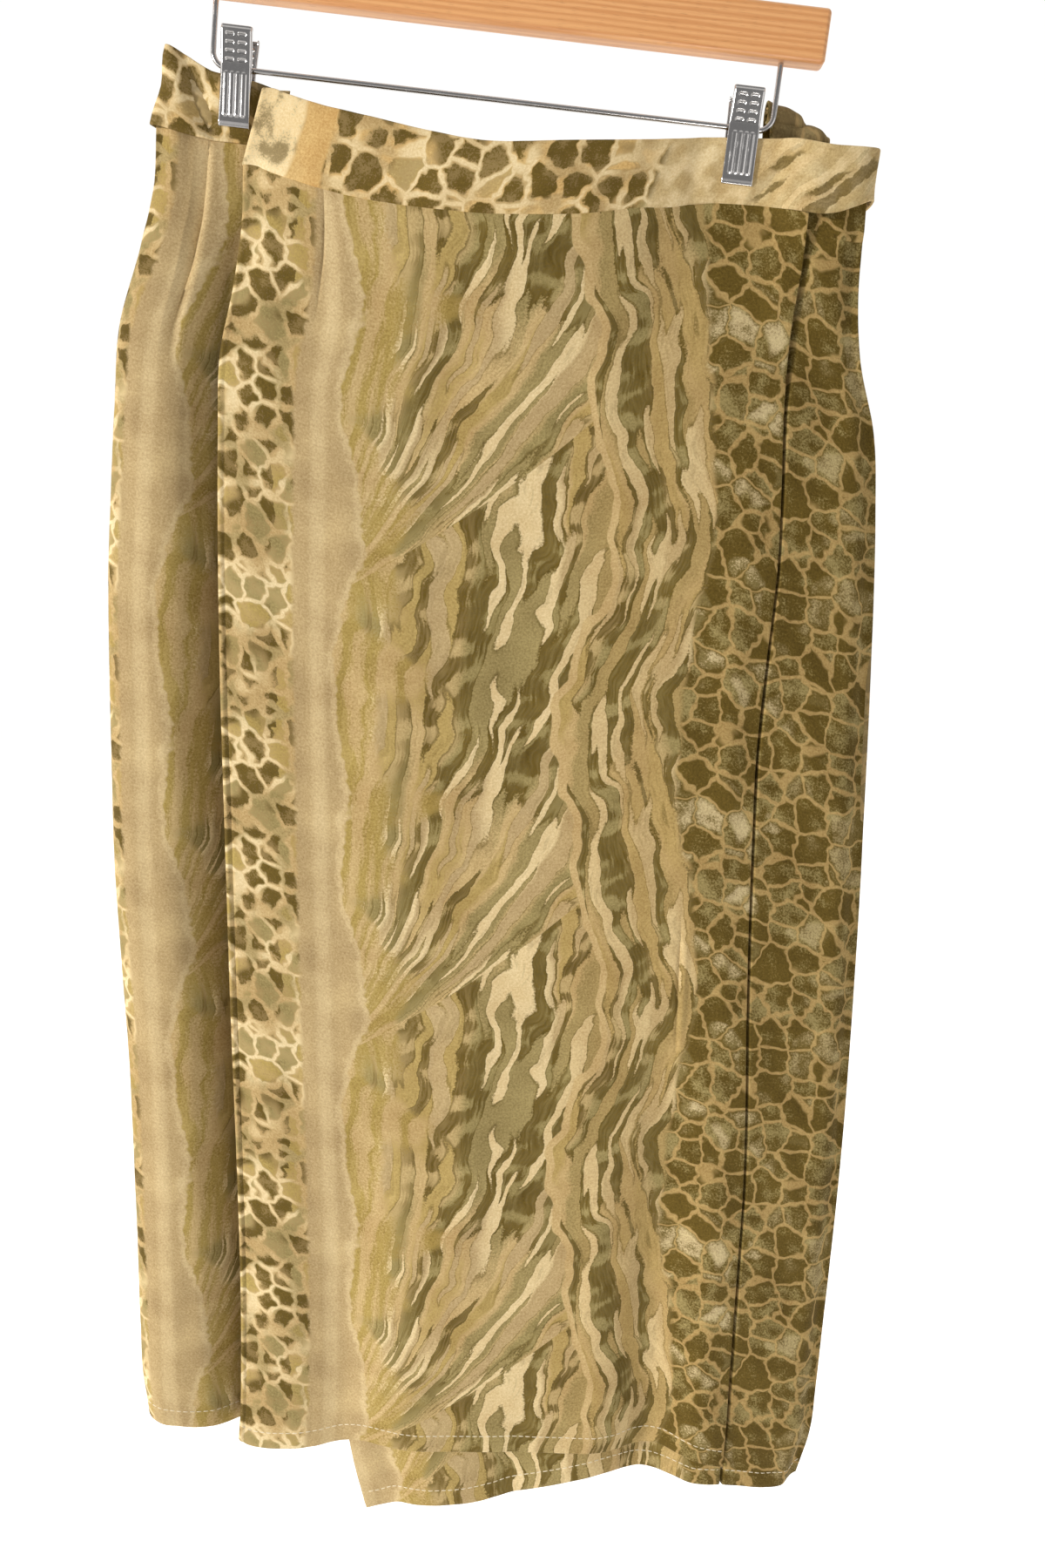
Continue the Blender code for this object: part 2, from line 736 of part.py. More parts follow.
clear_scene()
build_hanger()
build_skirt()
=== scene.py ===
"""The looks of a printed wrap skirt on a clip hanger, laid out as a Blender add-on.

Metres, +Z up, +X to the right of someone who faces the skirt's front, -Y towards them. The CAD
model gives every piece its place. Each sheet of cloth follows the middle of its CAD wall as a
thinner shell with finer creases. Sizes and tables are in millimetres, apart from those times MM and
the stage's. The print is laid out in cloth coordinates, u along the cloth and v down it, which the
sheets carry as their UV map.
"""

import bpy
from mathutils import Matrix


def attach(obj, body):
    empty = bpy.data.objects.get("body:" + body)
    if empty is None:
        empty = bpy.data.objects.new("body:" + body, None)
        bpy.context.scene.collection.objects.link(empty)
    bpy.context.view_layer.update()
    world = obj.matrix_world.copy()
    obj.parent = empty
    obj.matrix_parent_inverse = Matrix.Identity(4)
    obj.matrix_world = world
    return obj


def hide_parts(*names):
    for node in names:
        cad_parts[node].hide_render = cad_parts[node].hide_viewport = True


bl_info = {
    "name": "Wrap Skirt on a Clip Hanger",
    "version": (1, 0, 0),
    "blender": (4, 5, 0),
    "location": "3D View > Sidebar > Skirt",
    "description": "Builds the cloth, the hanger and the stage of a printed wrap skirt",
    "category": "Add Mesh",
}

from collections import namedtuple
from itertools import groupby
from math import asin, ceil, cos, hypot, pi, radians, sin, tau

import bmesh
import bpy
import numpy as np
from bpy.props import FloatProperty, FloatVectorProperty, PointerProperty
from mathutils import Matrix, Vector, noise

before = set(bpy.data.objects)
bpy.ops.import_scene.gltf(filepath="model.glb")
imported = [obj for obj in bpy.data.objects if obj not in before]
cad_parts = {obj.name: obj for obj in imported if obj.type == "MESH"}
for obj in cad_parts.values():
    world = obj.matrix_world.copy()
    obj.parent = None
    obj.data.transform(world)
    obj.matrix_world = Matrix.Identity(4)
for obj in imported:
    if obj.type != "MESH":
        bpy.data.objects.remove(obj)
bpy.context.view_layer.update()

MM = 0.001
CLOTH_MAP = "cloth"

# How the CAD sheets are read: corners this close are one, the walls' thickness and how exactly an
# edge has it, the least height of an edge that runs down a side, and places this close are one
WELD = 0.02 * MM
WALLS = {"panel": 1.2 * MM, "band": 2.0 * MM}
WALL_TOLERANCE = 0.004 * MM
UPRIGHT = 8 * MM
SAME_PLACE = 0.1 * MM

# The cloth's meshes: how far a panel's top runs on into its band, a band's rows, the steps round a
# sheet's rim, and the columns' distance where they stand closer
TUCK = 2.0
BAND_ROWS = 9
RIM_STEPS = 3
CLOSER_STEP = 0.6

# The hem: how much thicker it is and over what height it thins out, and its groove along the
# stitches with the groove's half width
HEM_THICKER, HEM_THINS = 0.35, 1.5
HEM_GROOVE, HEM_GROOVE_WIDTH = 0.22, 6.0

# The over wrap's dart
DART_U, DART_LENGTH, DART_TAKES = 50.0, 68.0, 10.0

# The over wrap's hidden fold, its calm free edge that sinks, and the groove and the rise of the
# under wrap along that edge, all with their widths. They fade out towards the waist and the hem.
FOLD_HIDDEN = 3.0
EDGE_CALM, EDGE_CALM_WIDTH = 0.25, 20.0
EDGE_SINK, EDGE_SINK_WIDTH = 1.5, 16.0
EDGE_GROOVE, EDGE_GROOVE_AT, EDGE_GROOVE_WIDTH = 5.0, 0.9, 0.8
EDGE_RISE, EDGE_RISE_FROM, EDGE_RISE_TO, EDGE_RISE_WIDTH = 1.5, 1.2, 2.0, 14.0
GROOVE_FADE, WAIST_FADE, HEM_FADE = 10.0, 30.0, 60.0

# The waistband: how calm it is beside a clip, the curl of its free end, and how its front stretch
# lifts off the panel below, the last two with where they start and over what length
GRIP_CALM, GRIP_WIDTH = 0.04, 7.0
CURL, CURL_U, CURL_V = 3.0, (292, 40), (20, 22)
BAND_LIFT, BAND_LIFT_V = 2.2, (22, 18)

# Stitches: their sides, and rings as shares of a stitch's length from its middle with their radius
STITCH_SIDES = 6
STITCH_RINGS = [(-0.5, 0.10), (-0.42, 0.24), (0.0, 0.30), (0.42, 0.24), (0.5, 0.10)]

# The hanger, in its own frame before it tilts. Its bar, with the radius of its rounded corners and
# their steps
HANGER_TILT = radians(4.35)
BAR_SIZE = Vector((356.0, 12.0, 28.0))
BAR_MIDDLE = -76.0
BAR_ROUND, BAR_ROUND_STEPS = 2.6, 7

# Its hook and the wire under the bar: radii, how far both are sunk into the wood, and the steps
HOOK_WIRE, HOOK_INNER_RADIUS, HOOK_NECK_RADIUS = 1.9, 20.1, 12.0
HOOK_TIP_ANGLE = radians(197)
CLIP_WIRE, CLIP_WIRE_SPAN, CLIP_WIRE_BEND = 1.5, 310.0, 8.0
WIRE_Z = -125.0
WIRE_SUNK = 0.5
WIRE_SIDES, BEND_STEPS, CROOK_STEPS = 20, 12, 52
WIRE_MITRE = 0.7
WIRE_SHARP, BARREL_SHARP = radians(60), radians(50)

# Its clips, with how far the tilt moves them to the left on the band, and where along the wire each
# stands and how far its jaw is open. Their plates run from CLIP_TOP above the wire to CLIP_JAW
# below it, and spread from the jaw past the wire to the top.
CLIP_WIDTH = 17.0
CLIP_TOP, CLIP_JAW = 18.0, 30.0
CLIP_SPREAD_TOP, CLIP_SPREAD_WIRE = 9.5, 5.6
CLIP_SHEET, CLIP_LIP, CLIP_CORNER = 0.9, 2.6, 1.6
CLIP_SHIFT = 11.0
Clip = namedtuple("Clip", "side along jaw")
CLIPS = [Clip("left", -140.6, 2.5), Clip("right", 138.9, 4.9)]

# A clip's plates: points round the corner and over half the face, rows above and below the wire, how
# far the face stands out from the spread, how the lip gives way where the jaw is narrow, how far and
# over what height top and jaw bend back, and the part of the face that is pressed, with its share
CORNER_POINTS, FACE_POINTS = 7, 22
ROWS_ABOVE, ROWS_BELOW, ROWS_GAP = 64, 70, (-1.0, -1.4)
CLIP_FACE, LIP_ROOM, LIP_LEAST = 1.0, 0.4, 0.15
TOP_BEND, TOP_BEND_HEIGHT = 1.04, 2.2
JAW_BEND, JAW_BEND_HEIGHT = 0.52, 2.4
PRESSED_WIDTH, PRESSED_EDGE, PRESSED_SHARE = 6.2, 1.2, 0.8

# What is pressed into a clip: flutes below the wire, and two columns of slots around it
FLUTES = [-4.8, -1.6, 1.6, 4.8]
FLUTE_TOP, FLUTE_FOOT, FLUTE_ENDS = -3.0, -26.0, 1.6
FLUTE_HALF_WIDTH, FLUTE_ROUND = 1.6, 0.8
SLOT_COLUMNS = [-3.3, 3.3]
SLOT_HEIGHTS = [13.6, 9.7, 5.8, 1.9]
SLOT_STRAIGHT, SLOT_END, SLOT_HALF_HEIGHT = 1.4, 0.9, 0.95
SLOT_RIM, SLOT_RIM_WIDTH = 0.7, 0.35

# The stage, in metres: its floor, over what Y the floor turns from grey to pale, how much it glows,
# the same turn of the surroundings, the camera's sensor and the nearest that it sees, and each
# light's place, size and share of the key light's power
FLOOR_RADIUS = 6.0
FLOOR_FADE = (-0.75, 0.15)
FLOOR_GLOW = 0.45
WORLD_STRENGTH = 1.05
WORLD_FADE = (-0.15, 0.55)
SENSOR, NEAREST = 36.0, 0.01
LIGHT_AIM = (0.0, 0.0, -0.5)
LIGHT_TINT = (1.0, 0.985, 0.965)
LIGHTS = [
    ("key_light", (-5.0, -2.5, 0.30), 0.8, 38.0),
    ("low_light", (0.35, -1.1, -1.38), 0.7, 1.8),
    ("side_light", (3.2, -2.2, -0.5), 3.0, 2.8),
]


# ---------------- settings


def from_srgb(red, green, blue):
    """A colour as bpy.props keep it, from its 0 to 255 screen values."""
    return tuple(((c / 255 + 0.055) / 1.055) ** 2.4 for c in (red, green, blue))


def size_property(name, description, millimetres):
    """A length, given in millimetres."""
    return FloatProperty(
        name=name,
        description=description,
        default=millimetres * MM,
        min=0.0,
        precision=5,
        subtype="DISTANCE",
        unit="LENGTH",
    )


def angle_property(name, description, degrees):
    """An angle, given in degrees."""
    return FloatProperty(
        name=name,
        description=description,
        default=radians(degrees),
        subtype="ANGLE",
        unit="ROTATION",
    )


def colour_property(name, description, *srgb):
    """A colour, given in its 0 to 255 screen values."""
    return FloatVectorProperty(
        name=name,
        description=description,
        default=from_srgb(*srgb),
        min=0.0,
        max=1.0,
        size=3,
        subtype="COLOR",
    )


class SkirtClothSettings(bpy.types.PropertyGroup):
    """Sizes of the cloth."""

    panel: size_property("Panel thickness", "Thickness of the panels' crepe", 0.9)
    band: size_property("Band thickness", "Thickness of the doubled waistband", 1.7)
    across: size_property("Mesh across", "Length of the mesh's cells across the cloth", 2.6)
    down: size_property("Mesh down", "Length of the mesh's cells down the cloth", 4.0)
    hem: size_property("Hem", "Height of the stitch line above a hem", 11.0)
    stitch: size_property("Stitch", "Length of one stitch on the hem", 3.0)
    stitch_gap: size_property("Stitch gap", "Cloth between two stitches", 1.3)
    crease: FloatProperty(
        name="Creases",
        description="Depth of the creases, as a share of their hand-set depth",
        default=1.0,
        min=0.0,
        max=1.5,
        subtype="FACTOR",
    )


class SkirtPrintSettings(bpy.types.PropertyGroup):
    """The print's repeat and colours."""

    repeat_down: size_property("Repeat down", "Height of one repeat of the print", 278)
    repeat_across: size_property("Repeat across", "Width of one repeat of the print", 400)
    tan: colour_property("Tan", "The print's commonest ground", 184, 157, 108)
    cream: colour_property("Cream", "Lightest strokes and nets", 220, 197, 151)
    greige: colour_property("Greige", "The plain stripe", 168, 145, 105)
    sage: colour_property("Sage", "Grey-green strokes", 142, 126, 80)
    mustard: colour_property("Mustard", "Yellow-brown strokes", 160, 136, 74)
    amber: colour_property("Amber", "Plain stretch and patches of the waistband", 204, 166, 104)
    brown: colour_property("Net brown", "Net between the dark cells", 166, 138, 86)
    olive: colour_property("Dark olive", "Spots, cells and dark strokes", 92, 74, 28)
    thread: colour_property("Thread", "Sewing thread", 226, 214, 184)


class SkirtHangerSettings(bpy.types.PropertyGroup):
    """Finishes and small sizes of the hanger."""

    wood_light: colour_property("Wood", "Early wood", 232, 176, 118)
    wood_dark: colour_property("Wood grain", "Late wood and pores", 196, 128, 72)
    steel: colour_property("Steel", "Plated steel", 206, 203, 201)
    flute: size_property("Flute depth", "How far the flutes stand out of the clips", 0.9)
    slot: size_property("Slot depth", "Depth of the slots pressed into the clips", 1.3)


class SkirtStageSettings(bpy.types.PropertyGroup):
    """The camera, the floor and the light."""

    camera: FloatVectorProperty(
        name="Camera",
        description="Where the camera stands",
        default=(0.020, -0.680, -0.387),
        size=3,
        subtype="XYZ",
        unit="LENGTH",
    )
    pitch: angle_property("Pitch", "How far the camera looks down", 10)
    roll: angle_property("Roll", "How far the camera is turned about its own axis", 2)
    lens: FloatProperty(
        name="Lens",
        description="Focal length on a 36 mm sensor",
        default=26.0,
        min=10.0,
        subtype="DISTANCE_CAMERA",
        unit="CAMERA",
    )
    floor: size_property("Floor", "How far the floor lies below the origin", 1300)
    backdrop: colour_property("Backdrop", "Floor and surroundings", 253, 252, 250)
    front: colour_property("Front", "Surroundings behind the camera", 136, 136, 136)
    floor_front: colour_property("Floor in front", "The floor on the camera's side", 182, 182, 182)
    key: FloatProperty(
        name="Key light",
        description="Power of the large soft light at the front left, in watts",
        default=9.0,
        min=0.0,
        unit="POWER",
    )


# ---------------- meshes and pieces


def link_object(name, data):
    """A new object in the scene."""
    made = bpy.data.objects.new(name, data)
    bpy.context.scene.collection.objects.link(made)
    return made


def smooth_object(name, shape, sharp=pi):
    """A bmesh as an object, shaded smooth but for edges that turn by the sharp angle or more."""
    for edge in shape.edges:
        edge.smooth = edge.calc_face_angle(0.0) < sharp
    for face in shape.faces:
        face.smooth = True
    mesh = bpy.data.meshes.new(name)
    shape.to_mesh(mesh)
    shape.free()
    return link_object(name, mesh)


def closed_bmesh(places, faces):
    """A bmesh of points and faces, with its faces turned outwards."""
    mesh = bpy.data.meshes.new("closed")
    mesh.from_pydata(places, [], faces)
    shape = bmesh.new()
    shape.from_mesh(mesh)
    bpy.data.meshes.remove(mesh)
    bmesh.ops.recalc_face_normals(shape, faces=shape.faces)
    return shape


def tube_faces(first, rings, sides):
    """The sides and the two ends of a tube of rings of points, which start at the point first."""
    last = first + (rings - 1) * sides
    faces = []
    for low in range(first, last, sides):
        for k in range(sides):
            beside = (k + 1) % sides
            faces.append((low + k, low + beside, low + sides + beside, low + sides + k))
    faces.append(tuple(range(first + sides - 1, first - 1, -1)))
    faces.append(tuple(range(last, last + sides)))
    return faces


def dress(made, finishes, nodes=()):
    """Gives a piece its finishes, puts it under the one body and hides the CAD nodes that it stands
    for."""
    for finish in finishes:
        made.data.materials.append(finish)
    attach(made, "root")
    if nodes:
        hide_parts(*nodes)
    return made


# ---------------- reading a CAD sheet


def mean(values):
    values = list(values)
    return sum(values) / len(values)


def layers(node, wall):
    """A CAD sheet as a bmesh, its two large sides as lists of faces, and its corners' partners on
    the other side.

    The faces between the two sides have an edge exactly as long as the wall is thick. Dictionaries
    stand where sets would do, because they keep the mesh's own order, and so every run is alike."""
    shape = bmesh.new()
    shape.from_mesh(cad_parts[node].data)
    bmesh.ops.remove_doubles(shape, verts=shape.verts, dist=WELD)
    thick = (e for e in shape.edges if abs(e.calc_length() - wall) < WALL_TOLERANCE)
    across = dict.fromkeys(thick)
    partner = {}
    for edge in across:
        a, b = edge.verts
        partner[a], partner[b] = b, a
    left = dict.fromkeys(f for f in shape.faces if not any(e in across for e in f.edges))
    found = []
    while left:
        layer = [left.popitem()[0]]
        for face in layer:
            beside = dict.fromkeys(f for e in face.edges for f in e.link_faces if f in left)
            layer.extend(beside)
            for other in beside:
                del left[other]
        found.append(layer)
    if len(found) != 2:
        raise RuntimeError(f"{node} has {len(found)} large sides, and a sheet has 2")
    return shape, found, partner


def outline_sides(layer):
    """A layer's top, bottom and starting side, each a list of vertices. The starting side is the
    left one, and the top and bottom run from it."""
    inside = set(layer)
    rim = [e for f in layer for e in f.edges if sum(g in inside for g in e.link_faces) == 1]
    beside = {}
    for edge in rim:
        for vertex in edge.verts:
            beside.setdefault(vertex, []).append(edge.other_vert(vertex))
    loop = [rim[0].verts[0]]
    ahead = beside[loop[0]][0]
    while ahead is not loop[0]:
        loop.append(ahead)
        a, b = beside[ahead]
        ahead = b if a is loop[-2] else a
    count = len(loop)
    upright = [abs(loop[i].co.z - loop[(i + 1) % count].co.z) > UPRIGHT for i in range(count)]
    first = next(i for i in range(count) if upright[i - 1] and not upright[i])
    sides = []
    for _, run in groupby([(first + i) % count for i in range(count)], lambda i: upright[i]):
        run = list(run)
        sides.append([loop[i] for i in run] + [loop[(run[-1] + 1) % count]])
    bottom, top = sorted((sides[0], sides[2]), key=lambda s: mean(v.co.z for v in s))
    start = min((sides[1], sides[3]), key=lambda s: mean(v.co.x for v in s))
    return [side if side[0] in start else side[::-1] for side in (top, bottom)] + [start]


def steps_from(side, allowed):
    """How many edges each vertex of a layer lies away from one of its sides."""
    reached = dict.fromkeys(side, 0)
    queue = list(side)
    for vertex in queue:
        for edge in vertex.link_edges:
            other = edge.other_vert(vertex)
            if other in allowed and other not in reached:
                reached[other] = reached[vertex] + 1
                queue.append(other)
    return reached


def panel_points(node):
    """The middle surface of a CAD panel as points [row, column], rows from its waist."""
    shape, found, _ = layers(node, WALLS["panel"])
    middle = 0
    for layer in found:
        top, _, start = outline_sides(layer)
        corners = dict.fromkeys(v for f in layer for v in f.verts)
        row, column = steps_from(top, corners), steps_from(start, corners)
        grid = np.full((len(start), len(top), 3), np.nan)
        for vertex in corners:
            grid[row[vertex], column[vertex]] = vertex.co
        middle = middle + grid / 2
    shape.free()
    if np.isnan(middle).any():
        raise RuntimeError(f"{node} isn't a whole grid")
    return middle


def band_points(node):
    """The middle of a CAD band as two rows of points, its upper and its lower edge. They are read
    from its side with more corners, which is whole to the band's ends."""
    shape, found, partner = layers(node, WALLS["band"])
    top, bottom, _ = max(map(outline_sides, found), key=lambda sides: len(sides[0]))
    edges = [[(v.co + partner[v].co) / 2 for v in side if v in partner] for side in (top, bottom)]
    shape.free()
    places = [shares_along(np.array(edge)) for edge in edges]
    upper, lower = (np.array(edge)[:, None] for edge in edges)
    return np.stack((upper, through(lower, places[1], places[0])))[:, :, 0]


# ---------------- smooth grids


def shares_along(line):
    """How far along a line of points each point is, from 0 to 1."""
    lengths = np.r_[0, np.cumsum(np.linalg.norm(np.diff(line, axis=0), axis=1))]
    return lengths / lengths[-1]


def through(points, at, wanted):
    """Points [place, other, 3] read at the wanted places, on smooth curves through the given ones,
    which lie at the places at."""
    gaps = np.diff(at)
    rates = np.diff(points, axis=0) / gaps[:, None, None]
    slopes = np.concatenate((rates[:1], rates))
    slopes[-1] = rates[-1]
    weight = (gaps[1:] / (gaps[:-1] + gaps[1:]))[:, None, None]
    slopes[1:-1] = rates[:-1] * weight + rates[1:] * (1 - weight)
    low = np.clip(np.searchsorted(at, wanted, side="right") - 1, 0, len(gaps) - 1)
    gap = gaps[low][:, None, None]
    t = ((wanted - at[low]) / gaps[low])[:, None, None]
    rest = (1 - t) ** 2
    return (
        points[low] * (1 + 2 * t) * rest
        + slopes[low] * gap * t * rest
        + points[low + 1] * t * t * (3 - 2 * t)
        - slopes[low + 1] * gap * t * t * (1 - t)
    )


def finer(points, step, closer=()):
    """The points [place, other, 3] with more places between them, about a step apart, and those of
    closer, which are measured from the leftmost place."""
    at = np.r_[0, np.cumsum(np.linalg.norm(np.diff(points, axis=0), axis=2).mean(axis=1))]
    wanted = [at[:1]]
    for low, high in zip(at, at[1:]):
        wanted.append(np.linspace(low, high, max(1, ceil((high - low) / step)) + 1)[1:])
    leftmost = at[points[:, points.shape[1] // 2, 0].argmin()]
    wanted.append([leftmost + place for place in closer if leftmost + place < at[-1]])
    wanted = np.unique(np.concatenate(wanted))
    return through(points, at, wanted[np.r_[True, np.diff(wanted) > SAME_PLACE]])


def lengths_down(points):
    """How far down its column each point lies."""
    down = np.linalg.norm(np.diff(points, axis=0), axis=2)
    return np.vstack((np.zeros(points.shape[1]), np.cumsum(down, axis=0)))


def lengths_along(points):
    """How far along its row each point lies, from the cloth's leftmost column."""
    along = lengths_down(points.transpose(1, 0, 2)).T
    middle = len(points) // 2
    leftmost = points[middle, :, 0].argmin()
    return along - along[:, leftmost : leftmost + 1]


def normals_of(points, facing):
    """The way out of the cloth at each point. facing is -1 for the front's sheets."""
    across = np.gradient(points, axis=1)
    down = np.gradient(points, axis=0)
    normals = np.cross(across, down)
    return facing * normals / np.linalg.norm(normals, axis=2, keepdims=True)


def soft_noise(u, v, across, down, seed):
    """Noise from -1 to 1 in waves about across by down millimetres."""
    flat = zip(u.ravel() / across, v.ravel() / down)
    return np.array([noise.noise(Vector((a, b, seed))) for a, b in flat]).reshape(u.shape)


def ease(value):
    """0 to 1 in an easy S as value goes from 0 to 1."""
    share = np.clip(value, 0.0, 1.0)
    return share * share * (3 - 2 * share)


# ---------------- the sheets

# One row for each sheet: its CAD node, what it is cut from, which way it faces (-1 the front), where
# its print starts and which way it runs, the size it was cut to, and what it hangs from.
Sheet = namedtuple(
    "Sheet", "node kind printed facing print_u print_way cut_width cut_length hangs_from"
)
SHEETS = {
    sheet.node: sheet
    for sheet in (
        Sheet("over_wrap", "panel", "panel", -1, 0, 1, 375, 805, ["waistband_over"]),
        Sheet("under_wrap", "panel", "panel", -1, 57, 1, 365, 815, ["waistband_under"]),
        Sheet("side_front", "panel", "panel", -1, 32, 1, 105, 820, ["waistband_back"]),
        Sheet("back_panel", "panel", "panel", 1, 32, -1, 485, 825, ["waistband_back"]),
        Sheet("waistband_over", "band", "band", -1, 0, 1, 445, 42, ["clip_right_front"]),
        Sheet("waistband_under", "band", "panel", -1, 20, 1, 320, 42, ["waistband_over"]),
        Sheet("waistband_back", "band", "band", 1, 118, -1, 460, 42, ["clip_left_front"]),
    )
}

# Creases in cloth coordinates: their middle u and v, length, lean from upright in degrees, width,
# and depth (inwards if negative)
CREASES = {
    "over_wrap": [
        (4.6, 470, 900, 0, 1.1, -0.8),
        (1.8, 470, 1000, 0, 1.6, 0.7),
        (50.3, 34, 78, 0, 0.9, -0.8),
        (276, 455, 110, 0, 1.2, -1.1),
        (279, 458, 110, 1, 2.4, 1.1),
        (52, 40, 110, 1, 6.0, -0.8),
        (96, 330, 330, 4, 16.0, 1.6),
        (180, 250, 260, -6, 20.0, -1.2),
        (225, 120, 200, -10, 14.0, 1.3),
        (150, 560, 300, 5, 22.0, 1.4),
        (40, 600, 360, 1, 12.0, -1.1),
        (210, 640, 240, -3, 15.0, -1.2),
        (300, 300, 280, 2, 9.0, 1.0),
        (312, 120, 170, -3, 6.0, -0.7),
        (262, 40, 90, -16, 7.0, 0.8),
        (20, 60, 120, -5, 6.0, 0.9),
        (130, 90, 150, 8, 12.0, -0.8),
        (245, 735, 90, 4, 14.0, 1.8),
        (286, 742, 80, -5, 12.0, -1.0),
        (120, 740, 90, 0, 16.0, 1.2),
    ],
    "under_wrap": [
        (320, 60, 120, 6, 7.0, 0.8),
        (338, 260, 300, -2, 10.0, -1.0),
        (325, 480, 260, 3, 12.0, 1.0),
        (300, 700, 160, 0, 12.0, 0.8),
        (60, 740, 90, 3, 14.0, 0.8),
    ],
    "side_front": [
        (57, 130, 260, -2.5, 7.5, -3.6),
        (78, 520, 1240, -0.5, 17.0, -15.0),
        (44, 500, 420, 1, 12.0, 1.2),
        (22, 480, 360, -2, 9.0, 1.0),
        (18, 200, 160, -5, 5.0, -0.6),
    ],
    "back_panel": [
        (70, 180, 300, 5, 15.0, 1.6),
        (120, 480, 420, -3, 20.0, -1.6),
        (190, 240, 360, 3, 18.0, 1.5),
        (240, 560, 360, -4, 22.0, 1.8),
        (300, 200, 280, -6, 16.0, -1.4),
        (350, 480, 380, 4, 20.0, 1.6),
        (410, 260, 300, -2, 14.0, 1.3),
        (440, 600, 240, 2, 14.0, -1.2),
        (30, 90, 170, 10, 8.0, 1.2),
        (48, 70, 130, 14, 6.0, -1.0),
        (390, 70, 130, -12, 8.0, 1.1),
        (372, 90, 150, -9, 7.0, -0.9),
        (160, 735, 100, 3, 14.0, 1.6),
        (275, 740, 100, -2, 15.0, -1.4),
        (228, 420, 110, 22, 5.0, 0.7),
    ],
    "waistband_over": [
        (8, 20, 46, 24, 3.5, 0.9),
        (20, 24, 40, 28, 3.0, -0.6),
        (262, 22, 44, -14, 5.0, 0.7),
        (300, 24, 46, -20, 4.0, -0.7),
        (318, 20, 44, -30, 4.0, 0.9),
        (332, 24, 44, -36, 3.5, -0.6),
        (120, 20, 60, 70, 6.0, 0.5),
    ],
    "waistband_under": [(60, 20, 44, 10, 8.0, 0.5), (210, 20, 44, -12, 7.0, 0.5)],
    "waistband_back": [
        (-24, 16, 70, 38, 4.0, -3.4),
        (-14, 22, 60, 30, 5.5, 2.4),
        (-32, 34, 44, 62, 4.0, 2.0),
        (-6, 10, 40, -20, 3.5, -1.2),
        (24, 16, 70, -38, 4.0, -3.4),
        (14, 22, 60, -30, 5.5, 2.4),
        (32, 34, 44, -62, 4.0, 2.0),
        (150, 20, 44, 8, 9.0, 0.7),
        (262, 20, 44, -10, 9.0, -0.7),
        (330, 20, 46, -22, 5.0, 0.8),
    ],
}

# Stretches across a sheet with narrow creases, which need closer columns
CLOSER = {
    "over_wrap": [(1.0, 8.0), (48.0, 53.0), (272.0, 288.0)],
    "under_wrap": [(236.0, 284.0)],
    "side_front": [(24.0, 40.0), (56.0, 84.0)],
}

# Unevenness of the cloth: how deep its waves are, and how long across and down. The last two rows
# of a panel are its puckers below the waist and along the hem's stitches. PUCKER_FADE is how far
# down the first of them fades.
WAVES = {
    "band": [(0.40, 9, 16), (0.50, 34, 30)],
    "panel": [(0.85, 30, 190), (0.40, 14, 60), (0.14, 5, 9), (0.45, 6, 26), (0.30, 5.5, 30)],
}
PUCKER_FADE = 14.0

# How a crease fades towards its ends
CREASE_FADE = 1.5

# The pleat beside the front-left seam: places down from the waist, where its edge lies there, how
# deep the cloth sinks before the edge and how high it stands after it, how wide those two are, and
# where the step between them starts
PLEAT_V = [0, 15, 30, 55, 95, 130]
PLEAT_U = [31, 30, 29.5, 31, 36.5, 40]
PLEAT_SINK = [0.4, 1.4, 2.2, 4.2, 2.4, 0]
PLEAT_RISE = [1.4, 2.6, 3.0, 2.6, 1.5, 0]
SINK_WIDTH, RISE_WIDTH = 8.0, 9.0
STEP_START, STEP_WIDTH = -0.5, 3.6


# ---------------- how the cloth lies


def crease_depth(creases, u, v):
    """How far the creases lift the cloth at each place, in millimetres."""
    lifted = np.zeros_like(u)
    for middle_u, middle_v, length, lean, width, depth in creases:
        right, below = u - middle_u, v - middle_v
        along = below * cos(radians(lean)) - right * sin(radians(lean))
        beside = right * cos(radians(lean)) + below * sin(radians(lean))
        fade = np.clip(1 - (2 * along / length) ** 2, 0.0, 1.0) ** CREASE_FADE
        lifted += depth * np.exp(-((beside / width) ** 2)) * fade
    return lifted


def relief(sheet, u, v, above_hem, settings):
    """How far creases and unevenness lift the cloth off its middle surface, in millimetres."""
    seed = 10.0 * list(SHEETS).index(sheet.node)
    waves = [
        depth * soft_noise(u, v, across, down, seed + k)
        for k, (depth, across, down) in enumerate(WAVES[sheet.kind])
    ]
    if sheet.kind == "panel":
        off_stitches = (above_hem - settings.hem / MM) / HEM_GROOVE_WIDTH
        waves[3] *= np.exp(-v / PUCKER_FADE)
        waves[4] = (waves[4] - HEM_GROOVE) * np.exp(-(off_stitches**2))
    lifted = crease_depth(CREASES[sheet.node], u, v) * settings.crease
    for wave in waves:
        lifted += wave
    return lifted


def edge_calm(away):
    """The share of its unevenness that the cloth keeps at a distance from the free edge."""
    return EDGE_CALM + (1 - EDGE_CALM) * ease(away / EDGE_CALM_WIDTH)


def shape_over_wrap(lift, points, u, v, above_hem):
    """Calms and sinks the free edge, and keeps the hidden fold where it is."""
    inside = u[:, -1:] - u
    sunk = EDGE_SINK * (1 - ease(inside / EDGE_SINK_WIDTH))
    lift = lift * edge_calm(inside) - sunk * ease(v / WAIST_FADE) * ease(above_hem / HEM_FADE)
    return lift * ease(u / FOLD_HIDDEN)


